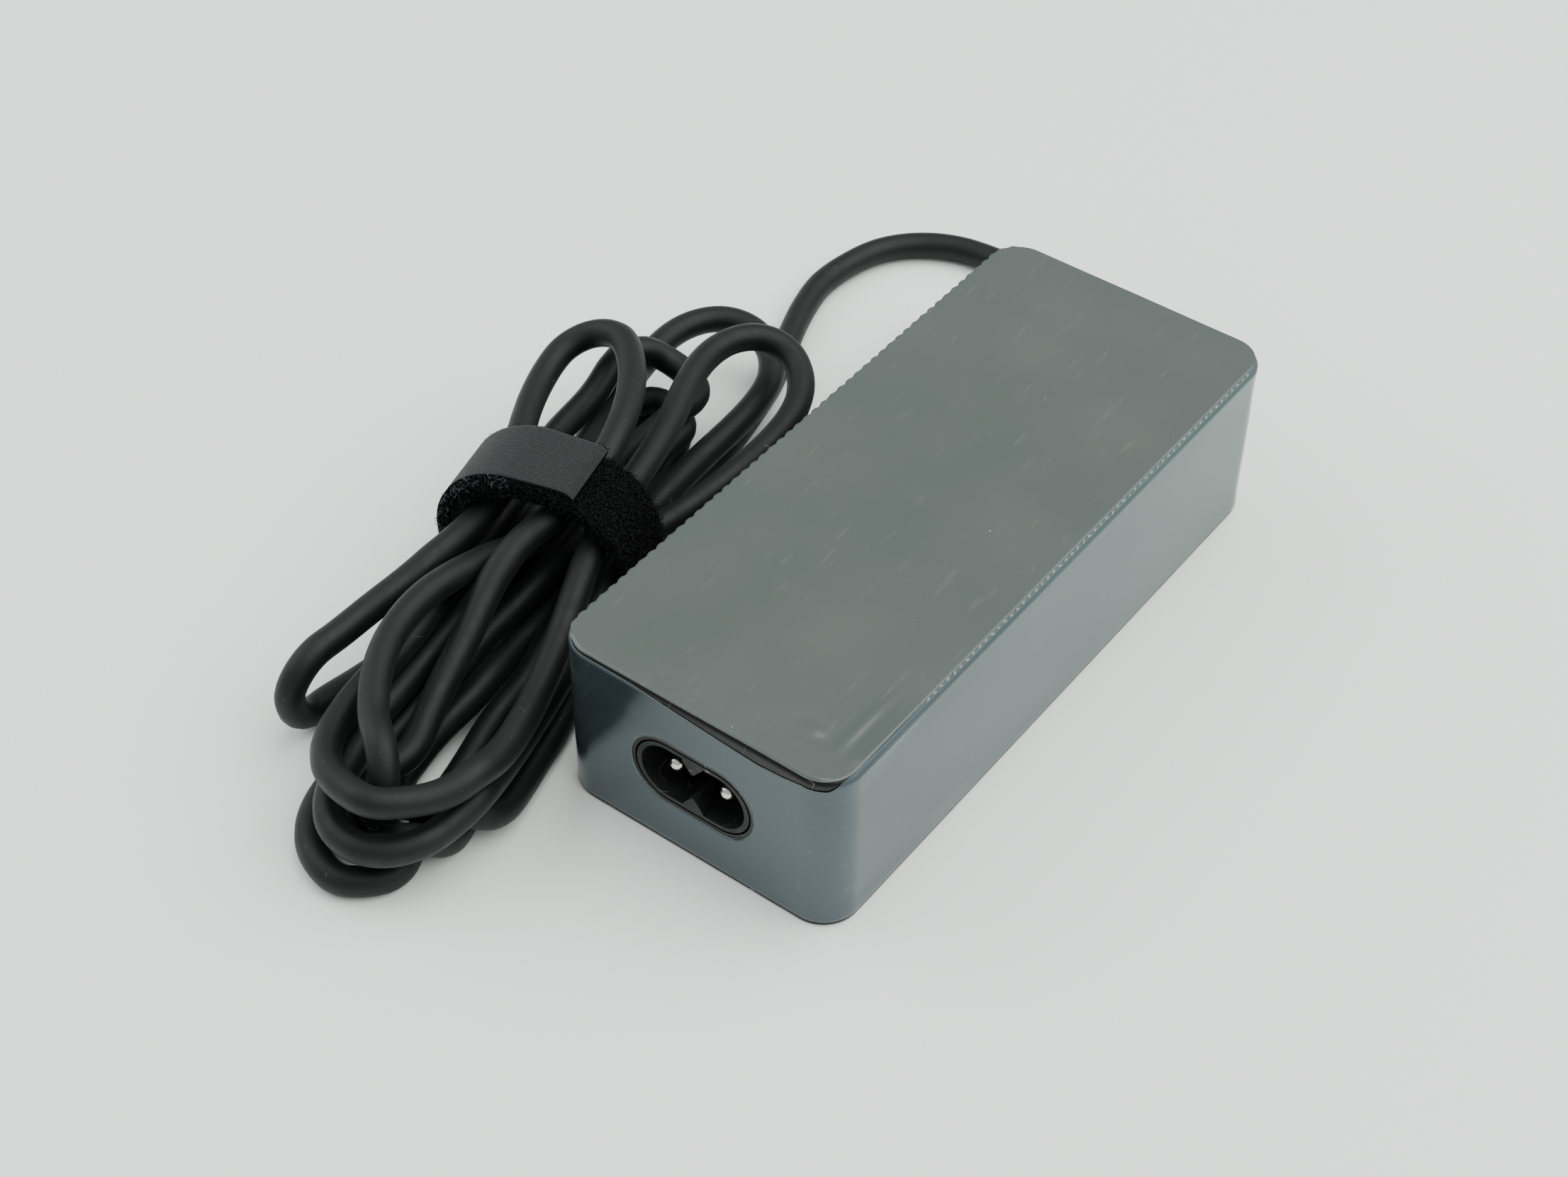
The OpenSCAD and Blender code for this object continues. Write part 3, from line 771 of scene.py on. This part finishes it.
def outline(half_x, half_y, r, step):
    """Points round a rounded rectangle, with their outward directions, from the front left corner on."""
    sides = [(0, -1, 1, 0), (1, 0, 0, 1), (0, 1, -1, 0), (-1, 0, 0, -1)]
    places = []
    outward = []
    for nx, ny, tx, ty in sides:
        far = abs(nx) * half_x + abs(ny) * half_y
        half = abs(tx) * half_x + abs(ty) * half_y - r
        for t in np.linspace(-half, half, round(2 * half / step), endpoint=False):
            places.append((nx * far + tx * t, ny * far + ty * t))
            outward.append((nx, ny))
        turns = round(math.pi / 2 * r / step)
        for a in np.linspace(0, math.pi / 2, turns, endpoint=False):
            ux, uy = nx * math.cos(a) + tx * math.sin(a), ny * math.cos(a) + ty * math.sin(a)
            cx, cy = nx * (far - r) + tx * half, ny * (far - r) + ty * half
            places.append((cx + ux * r, cy + uy * r))
            outward.append((ux, uy))
    return np.array(places), np.array(outward)


def stadium_distance(x, z, half_x, half_z):
    """How far a point lies outside a stadium shape; negative inside."""
    across = max(abs(x) - (half_x - half_z), 0)
    return math.hypot(across, z) - half_z


def fold(y):
    """How strongly the film is lifted off the right top edge, near the front corner."""
    t = (y - FOLD_START) / (FOLD_END - FOLD_START)
    if t <= 0 or t >= 1:
        return 0.0
    return math.sin(math.pi * t ** 0.8) ** 1.2


def film_height(x, nx, ny):
    """Where the side film's top edge is, measured up its own surface from the bottom."""
    if ny < -0.999:
        return FULL_HEIGHT - np.interp(x, SLIT_X, SLIT_DEPTH)
    if ny < 0 and nx > 0:
        return FULL_HEIGHT - CORNER_GAP - CORNER_SLIT * (1 - smooth_step((nx - 0.6) / 0.4))
    if ny < 0 and nx < 0:
        return FULL_HEIGHT - LEFT_SLIT * smooth_step(ny * ny)
    return FULL_HEIGHT - EDGE_GAP


def side_film_point(place, outward, run):
    """A point of the side film, run millimetres up from its bottom edge."""
    x, y = place
    nx, ny = outward
    swell = 0.05 * math.sin(x * 0.21 + y * 0.13) + 0.04 * math.sin(run * 0.31 + y * 0.19)
    swell *= smooth_step(min(run, UPRIGHT - run) / 4 + 0.001)
    angle = max(run - UPRIGHT, 0) / EDGE_R
    lifted = fold(y) * hump(run, UPRIGHT + 0.9, 1.0) if nx > 0.99 else 0.0
    out = swell - EDGE_R * (1 - math.cos(angle)) + FOLD_OUT * lifted
    z = FILM_BOTTOM + min(run, UPRIGHT) + EDGE_R * math.sin(angle) + FOLD_UP * lifted
    return (x + nx * out, y + ny * out, z)


def opening(y):
    """The opening in the near or the far wall: half width, half height, and its middle's height."""
    return (INLET_CUT, INLET_Z) if y < 0 else (EXIT_CUT, EXIT_Z)


def snap_to_cut(p):
    """Moves a point of the side film onto the edge of the opening it is next to."""
    cut, middle_z = opening(p[1])
    core = max(cut[0] - cut[1], 0)
    foot = min(max(p[0], -core), core)
    reach = math.hypot(p[0] - foot, p[2] - middle_z)
    p[0] = foot + (p[0] - foot) * cut[1] / reach
    p[2] = middle_z + (p[2] - middle_z) * cut[1] / reach


def side_film():
    """A sheet in columns round the casing, with the faces inside the two openings left out."""
    places, outward = outline(FILM_X, FILM_Y, FILM_R, 0.55)
    shares = np.concatenate([np.linspace(0, 0.94, 50), np.linspace(0.945, 1, 12)])
    rows = len(shares)
    columns = len(places)
    points = []
    keep = []
    for place, normal in zip(places, outward):
        height = film_height(place[0], *normal)
        cut, middle_z = opening(place[1])
        on_wall = abs(normal[1]) > 0.99
        for share in shares:
            p = list(side_film_point(place, normal, height * share))
            points.append(p)
            keep.append(not on_wall or stadium_distance(p[0], p[2] - middle_z, *cut) > -0.2)
    faces = grid_faces(columns, rows, closed_columns=True)
    kept = [f for f in faces if all(keep[v] for v in f)]
    rim = {v for f in faces if not all(keep[v] for v in f) for v in f} & {v for f in kept for v in f}
    for v in rim:
        snap_to_cut(points[v])
    return mesh_object("side_film_wrap", np.array(points) * MM, kept)


def top_film_point(s, t):
    """A point of the top film, with s and t from -1 to 1 across and along it."""
    half_x, half_y, r = FILM_X - TOP_INSET_X, FILM_Y - TOP_INSET_Y, FILM_R - TOP_INSET_R
    x, y = s * half_x, t * half_y
    corner = (abs(x) - (half_x - r), abs(y) - (half_y - r))
    if corner[0] > 0 and corner[1] > 0:
        shrink = max(corner) / math.hypot(*corner)
        x = math.copysign(half_x - r + corner[0] * shrink, x)
        y = math.copysign(half_y - r + corner[1] * shrink, y)
    left = smooth_step((-s - 0.93) / 0.07)
    x -= 0.38 * abs(math.sin(math.pi * y / 2.1)) * left
    z = TOP_Z + TOP_LIFT
    right = smooth_step((s - 0.86) / 0.14)
    z += FOLD_UP * fold(y) * right + 0.2 * fold(y) * hump(s, 0.83, 0.03)
    x += 0.2 * fold(y) * right
    near = math.hypot((x - DENT[0]) / 3.2, (y - DENT[1]) / 1.6)
    z += 0.16 * math.exp(-near ** 2) * math.cos(near * 3.0)
    z += 0.022 * math.sin(x * 0.33 + 1.1) * math.sin(y * 0.16) + 0.014 * math.sin(x * 0.12 - y * 0.31)
    z += 0.10 * hump(t, -0.985, 0.02) * hump(x, 9, 9)
    return (x, y, z)


def top_film():
    """A sheet whose columns are closest together at its left and right edges."""
    columns, rows = 76, 172
    edge_angle = math.pi / 2 * 0.98
    even = np.linspace(-1, 1, columns)
    s_values = 0.45 * (np.sin(even * edge_angle) / math.sin(edge_angle)) + 0.55 * even
    points = [top_film_point(s, t) for s in s_values for t in np.linspace(-1, 1, rows)]
    return mesh_object("top_film_sheet", np.array(points) * MM, grid_faces(columns, rows))


def thicken(sheet, look):
    """Gives a film its thickness, inwards, with its cut edge in the edge's look."""
    dress(sheet, look, EDGE_LOOK)
    solid = sheet.modifiers.new("thickness", "SOLIDIFY")
    solid.thickness = FILM_T * MM
    solid.offset = -1
    solid.use_even_offset = True
    solid.material_offset_rim = 1


def perforations():
    """Torn stubs of the tear line along the right top edge: small blocks with sloped tops."""
    dice = np.random.default_rng(5)
    sides = 8
    half_w = 0.13
    levels = ((1.0, -0.19), (1.0, 0.02), (0.55, 0.09))
    points = []
    faces = []
    for y in np.arange(FOLD_END + 0.5, FILM_Y - 6, 1.5):
        half_l = 0.36 + 0.1 * dice.random()
        turn = 0.5 * (dice.random() - 0.5)
        x = FILM_X - 0.52 + 0.12 * (dice.random() - 0.5)
        base = len(points)
        for ring, (grow, z) in enumerate(levels):
            for k in range(sides):
                a = 2 * math.pi * k / sides
                u, v = math.cos(a) * half_w * grow, math.sin(a) * half_l * grow
                u, v = u * math.cos(turn) - v * math.sin(turn), u * math.sin(turn) + v * math.cos(turn)
                points.append((x + u, y + v, TOP_Z - 0.06 + z + u * -0.5))
            if ring:
                low, top = base + sides * (ring - 1), base + sides * ring
                for k in range(sides):
                    n = (k + 1) % sides
                    faces.append((low + k, low + n, top + n, top + k))
        faces.append(tuple(base + sides - 1 - k for k in range(sides)))
        faces.append(tuple(base + 2 * sides + k for k in range(sides)))
    stubs = mesh_object("film_tear_line", np.array(points) * MM, faces)
    dress(stubs, EDGE_LOOK)
    return stubs


side_sheet = side_film()
thicken(side_sheet, LOOKS["film"])
top_sheet = top_film()
thicken(top_sheet, TOP_FILM_LOOK)
tear_line = perforations()


# ---- strap: a ring round the hank, and its free tail over the top from low on the left ----

STRAP_T = 1.8
STRAP_W = 12.0
STRAP_EDGE = 0.25
LAYER_GAP = 0.3
TAIL_END = 6.0
TAIL_ROOT_Z = 3.2
STEPS_ROUND = 190
FLOOR_CLEARANCE = 0.03


def ring_point(run, grow):
    """A point on the strap's line round the hank and its outward direction. run goes from 0 to 1,
    clockwise seen from the near end, from the middle of the bottom and up the left side."""
    half_v = (RING_HI - RING_LO) / 2 + grow
    half_z = (RING_TOP - RING_BOTTOM) / 2 + grow
    low_r, top_r = RING_R + grow, RING_TOP_R + grow
    foot, upright, top = half_v - low_r, 2 * half_z - low_r - top_r, 2 * (half_v - top_r)
    low_bend, top_bend = math.pi / 2 * low_r, math.pi / 2 * top_r
    lengths = [foot, low_bend, upright, top_bend, top, top_bend, upright, low_bend, foot]
    left = run * sum(lengths)
    headings = [(-1, 0), None, (0, 1), None, (1, 0), None, (0, -1), None, (-1, 0)]
    corner_r = {1: low_r, 3: top_r, 5: top_r, 7: low_r}
    v, z = 0.0, -half_z
    for k, (size, heading) in enumerate(zip(lengths, headings)):
        take = min(left, size)
        if heading:
            v, z = v + heading[0] * take, z + heading[1] * take
            normal = (-heading[1], heading[0])
        else:
            r = corner_r[k]
            before = headings[k - 1]
            out = (-before[1], before[0])
            a = take / r
            cv, cz = v - out[0] * r, z - out[1] * r
            nv = out[0] * math.cos(a) + before[0] * math.sin(a)
            nz = out[1] * math.cos(a) + before[1] * math.sin(a)
            v, z = cv + nv * r, cz + nz * r
            normal = (nv, nz)
        left -= take
        if left <= 1e-9:
            break
    middle_v, middle_z = (RING_HI + RING_LO) / 2, (RING_TOP + RING_BOTTOM) / 2
    return np.array((middle_v + v, middle_z + z)), np.array(normal)


def run_where(grow, reached):
    """The first place round the ring where a point passes a test."""
    return next(run for run in np.linspace(0, 1, 1601) if reached(*ring_point(run, grow)[0]))


def strap_layer(name, run_from, run_to, grow_in, grow_out, closed, ragged, seed):
    """One layer of strap: a band with round edges, swept round the hank from its inside to its outside,
    both measured out from the hank. ragged says how rough its outside and its other faces are. Its
    outside is its first material, and its edges and inside its second."""
    dice = np.random.default_rng(seed)
    runs = np.linspace(run_from, run_to, round((run_to - run_from) * STEPS_ROUND), endpoint=not closed)
    face = np.linspace(-STRAP_W / 2 + STRAP_EDGE, STRAP_W / 2 - STRAP_EDGE, 22)
    edge = np.sin(np.linspace(-1, 1, 5) * math.pi / 2)[1:-1]
    section = [(s, 1.0) for s in face]
    section += [(STRAP_W / 2 - 0.08 * e * e, -e) for e in edge]
    section += [(s, -1.0) for s in face[::-1]]
    section += [(-STRAP_W / 2 + 0.08 * e * e, e) for e in edge]
    rows = len(section)
    middle, half = (grow_in + grow_out) / 2, (grow_out - grow_in) / 2
    points = []
    for run in runs:
        to_end = 1.0 if closed else smooth_step((run_to - run) / (run_to - run_from) * 40)
        for s, side in section:
            place, normal = ring_point(run, middle)
            thin = half * side if side < 0 else half * side * (0.45 + 0.55 * to_end)
            rough = ragged[0] if side == 1.0 else ragged[1]
            out = thin + rough * (dice.random() - 0.5)
            wave = 0.12 * math.sin(run * 41 + s * 0.3)
            where = place + normal * out
            shift = rough * 0.8 * (dice.random() - 0.5)
            points.append((where[0], s + wave + shift, max(where[1], FLOOR_CLEARANCE)))
    faces = grid_faces(len(runs), rows, closed_columns=closed, closed_rows=True)
    if not closed:
        faces.append(tuple(range(rows))[::-1])
        faces.append(tuple((len(runs) - 1) * rows + j for j in range(rows)))
    layer = mesh_object(name, hank_to_world(np.array(points)) * MM, [f[::-1] for f in faces])
    outside = [all(section[v % rows][1] == 1.0 for v in f) and len(f) == 4 for f in faces]
    layer.data.polygons.foreach_set("material_index", [0 if top else 1 for top in outside])
    uv = layer.data.uv_layers.new(name="strap")
    for loop in layer.data.loops:
        column, row = divmod(loop.vertex_index, rows)
        uv.data[loop.index].uv = (column * 0.5, section[row][0])
    return layer


def fibres(name, roots, normals, length, thickness, seed, upright):
    """Fine loops and hooks of thread, each a thin closed spindle that bends back to the strap. Those
    that would reach the floor are left out."""
    dice = np.random.default_rng(seed)
    points = []
    faces = []
    ring, links = 3, 5
    for root, normal in zip(roots, normals):
        side = np.cross(normal, dice.normal(size=3))
        side /= np.linalg.norm(side)
        reach = length * (0.5 + 0.8 * dice.random())
        lean = side * (1.3 - upright) + np.cross(normal, side) * 0.3 * (dice.random() - 0.5)
        base = len(points)
        line = []
        for k in range(links + 2):
            t = k / (links + 1)
            line.append(root + normal * reach * upright * math.sin(math.pi * 0.8 * t) + lean * reach * t)
        if min(p[2] for p in line) < thickness:
            continue
        across = np.cross(normal, side)
        points.append(line[0])
        for k in range(1, links + 1):
            for j in range(ring):
                a = 2 * math.pi * j / ring
                points.append(line[k] + thickness / 2 * (math.cos(a) * across + math.sin(a) * side))
        points.append(line[-1])
        last = len(points) - 1
        for j in range(ring):
            n = (j + 1) % ring
            faces.append((base, base + 1 + n, base + 1 + j))
            faces.append((last, last - ring + j, last - ring + n))
            for k in range(links - 1):
                low = base + 1 + k * ring
                faces.append((low + j, low + n, low + ring + n, low + ring + j))
    return mesh_object(name, hank_to_world(np.array(points)) * MM, faces)


def pile_roots(count, run_from, run_to, grow, seed):
    """Places spread over the strap's outside, with their outward directions."""
    dice = np.random.default_rng(seed)
    roots, normals = [], []
    for run, share in zip(run_from + (run_to - run_from) * dice.random(count), dice.random(count)):
        place, normal = ring_point(run, grow)
        roots.append(np.array((place[0], STRAP_W * (share - 0.5), place[1])))
        normals.append(np.array((normal[0], 0.3 * (dice.random() - 0.5), normal[1])))
    return roots, normals


def rim_roots(count, run_from, run_to, grow_in, grow_out, seed, sides=(-1, 1)):
    """Places spread over the strap's two long edges, which point along the hank."""
    dice = np.random.default_rng(seed)
    roots, normals = [], []
    for k in range(count):
        run = run_from + (run_to - run_from) * dice.random()
        place, normal = ring_point(run, grow_in + (grow_out - grow_in) * dice.random())
        side = sides[k % len(sides)]
        roots.append(np.array((place[0], side * (STRAP_W / 2 - 0.1), place[1])))
        normals.append(np.array((0.35 * normal[0], side, 0.35 * normal[1])))
    return roots, normals


tail_in = STRAP_T + LAYER_GAP
tail_out = tail_in + STRAP_T
tail_from = run_where(tail_out, lambda v, z: z > TAIL_ROOT_Z and v < RING_LO)
tail_to = run_where(tail_out, lambda v, z: v > TAIL_END and z > RING_TOP)
band = strap_layer("strap_ring", 0, 1, 0, STRAP_T, True, (0.16, 0.22), 11)
dress(band, LOOKS["strap_pile"], LOOKS["strap_pile"])
tail = strap_layer("strap_free_tail", tail_from, tail_to, tail_in, tail_out, False, (0.03, 0.2), 12)
dress(tail, LOOKS["strap_weave"], LOOKS["strap_pile"])

pile_from = run_where(STRAP_T, lambda v, z: v > TAIL_END - 1 and z > RING_TOP)
pile_places = pile_roots(3400, pile_from, 0.9, STRAP_T - 0.15, 21)
band_rim_places = rim_roots(1700, 0.08, 0.92, 0.1, STRAP_T + 0.2, 23)
tail_rim_places = rim_roots(1500, tail_from + 0.01, tail_to - 0.004, tail_in - 0.2, tail_out - 0.45, 25)
hook_places = rim_roots(150, tail_from + 0.02, tail_to - 0.1, tail_in, tail_out - 0.3, 27, (-1,))
band_pile = fibres("strap_pile_loops", *pile_places, 1.0, 0.13, 22, 0.55)
band_rim = fibres("strap_ring_fuzz", *band_rim_places, 0.8, 0.12, 24, 0.5)
tail_rim = fibres("strap_tail_fuzz", *tail_rim_places, 0.8, 0.12, 26, 0.5)
hooks = fibres("strap_hooks", *hook_places, 1.0, 0.13, 28, 0.6)


def thread(name, dark, light, rough):
    """Nylon of the strap's loops or hooks."""
    s = Shader(name, rough, ior=1.3)
    s.colour(s.mix(s.span(s.noise(1.2, 3), 0.35, 0.65), dark, light))
    s.bump(s.noise(0.2, 2), 0.02)
    return s.material


PILE_THREAD = thread("pile_thread", (0.001, 0.001, 0.0012), (0.009, 0.0095, 0.0105), 0.7)
HOOK_THREAD = thread("hook_thread", (0.02, 0.02, 0.026), (0.11, 0.11, 0.13), 0.4)
for fuzz in (band_pile, band_rim, tail_rim):
    dress(fuzz, PILE_THREAD)
dress(hooks, HOOK_THREAD)


# ---- strain relief and plug ----

def turned(name, sections, centre_x, centre_z, squareness=2.0, count=40):
    """A closed body along Y from (y, half width, half height) sections, oval or nearly square."""
    points = []
    for y, half_x, half_z in sections:
        for k in range(count):
            a = 2 * math.pi * k / count
            c, s = math.cos(a), math.sin(a)
            x = math.copysign(abs(c) ** (2 / squareness), c) * half_x
            z = math.copysign(abs(s) ** (2 / squareness), s) * half_z
            points.append((centre_x + x, y, centre_z + z))
    faces = grid_faces(len(sections), count, closed_rows=True)
    faces.append(tuple(range(count))[::-1])
    faces.append(tuple((len(sections) - 1) * count + k for k in range(count)))
    return mesh_object(name, np.array(points) * MM, faces)


def ribbed(y_from, y_to, r_from, r_to, ribs, depth):
    """Sections of a tapered sleeve with rounded ribs."""
    sections = []
    for t in np.linspace(0, 1, ribs * 8 + 1):
        groove = depth * smooth_step((-math.cos(2 * math.pi * ribs * t) - 0.2) / 0.5)
        r = r_from + (r_to - r_from) * t ** 0.85 - groove
        sections.append((y_from + (y_to - y_from) * t, r, r))
    return sections


relief_lo, relief_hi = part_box("strain_relief")
RELIEF_R = (relief_hi.x - relief_lo.x) / 2 / MM
RELIEF_TIP_R = 2.75
grip_lo, grip_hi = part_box("plug_grip")
PLUG_X = (grip_lo.x + grip_hi.x) / 2 / MM
PLUG_Z = (grip_lo.z + grip_hi.z) / 2 / MM
GRIP_HALF = ((grip_hi.x - grip_lo.x) / 2 / MM, (grip_hi.z - grip_lo.z) / 2 / MM)
SLEEVE_LENGTH = 8
SLEEVE_R = 2.6
NECK_R = 3.0


def grip_sections():
    """The plug's ribbed sleeve, and its grip, which swells out from it."""
    start, stop = grip_lo.y / MM + SLEEVE_LENGTH, grip_hi.y / MM
    sections = ribbed(grip_lo.y / MM, start, SLEEVE_R, NECK_R, 3, 0.2)[:-1]
    for t in np.linspace(0, 1, 26):
        y = start + (stop - start) * t
        swell = smooth_step(t / 0.16) ** 0.5
        chamfer = smooth_step((1 - t) / 0.05)
        waist = 1 - 0.05 * hump(t, 0.5, 0.2)
        half_x = (NECK_R + (GRIP_HALF[0] - NECK_R) * swell) * waist * (0.92 + 0.08 * chamfer)
        half_z = (NECK_R + (GRIP_HALF[1] - NECK_R) * swell) * (0.92 + 0.08 * chamfer)
        sections.append((y, half_x, half_z))
    return sections


GRIP_LOOK = plastic("grip", (0.012, 0.013, 0.013), (0.02, 0.021, 0.021), 0.45, depth=0.02)
relief_sections = ribbed(relief_lo.y / MM, relief_hi.y / MM, RELIEF_R, RELIEF_TIP_R, 4, 0.35)
relief = turned("strain_relief_sleeve", relief_sections, 0, EXIT_Z)
grip = turned("plug_grip_body", grip_sections(), PLUG_X, PLUG_Z, 2.9, 48)
dress(relief, LOOKS["cord_rubber"])
dress(grip, GRIP_LOOK)


# ---- the pieces in the frame ----

dress(cord, LOOKS["cord_rubber"])
for piece in (cord, side_sheet, top_sheet, tear_line, band, band_pile, band_rim, relief, grip):
    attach(piece, ADAPTER)
for piece in (tail, tail_rim, hooks):
    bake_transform(piece)

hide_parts("cord_lead", "cord_hank", "cord_end")
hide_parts("side_film")
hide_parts("top_film")
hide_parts("strap_band")
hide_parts("strap_tail")
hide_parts("strain_relief")
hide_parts("plug_grip")

on_cord = [relief, band, band_pile, band_rim, tail, tail_rim, hooks, grip]
on_cord += [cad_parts[name] for name in ("plug_shell", "plug_insert", "plug_contacts")]


# ---- floor and light ----

FLOOR_HALF = 3.0
FLOOR_Z = -0.0002
ROOM_LIGHT = 0.66


def make_floor():
    corners = [(x * FLOOR_HALF, y * FLOOR_HALF, 0) for x, y in ((-1, -1), (1, -1), (1, 1), (-1, 1))]
    floor = mesh_object("floor", corners, [(0, 1, 2, 3)], smooth=False)
    floor.location.z = FLOOR_Z
    s = Shader("floor", 0.7, ior=1.3)
    s.colour(s.mix(s.noise(90, 3), (0.88, 0.92, 0.885), (0.90, 0.94, 0.905)))
    s.bump(s.noise(0.5, 2), 0.01)
    dress(floor, s.material)


def area_light(name, place, size, power, colour):
    """A square light that faces the origin."""
    data = bpy.data.lights.new(name, "AREA")
    data.shape = "SQUARE"
    data.size = size
    data.energy = power
    data.color = colour
    light = add_object(name, data)
    light.location = place
    light.rotation_euler = (-Vector(place)).to_track_quat("-Z", "Y").to_euler()


def make_world():
    world = bpy.data.worlds.new("room")
    world.use_nodes = True
    background = world.node_tree.nodes["Background"]
    background.inputs["Color"].default_value = (0.93, 0.97, 0.96, 1)
    background.inputs["Strength"].default_value = ROOM_LIGHT
    bpy.context.scene.world = world


make_floor()
make_world()
area_light("key", (0.45, 0.3, 0.95), 1.5, 24.0, (1.0, 1.0, 0.98))
area_light("fill", (-0.7, -0.2, 0.6), 0.8, 4.5, (0.95, 0.98, 1.0))
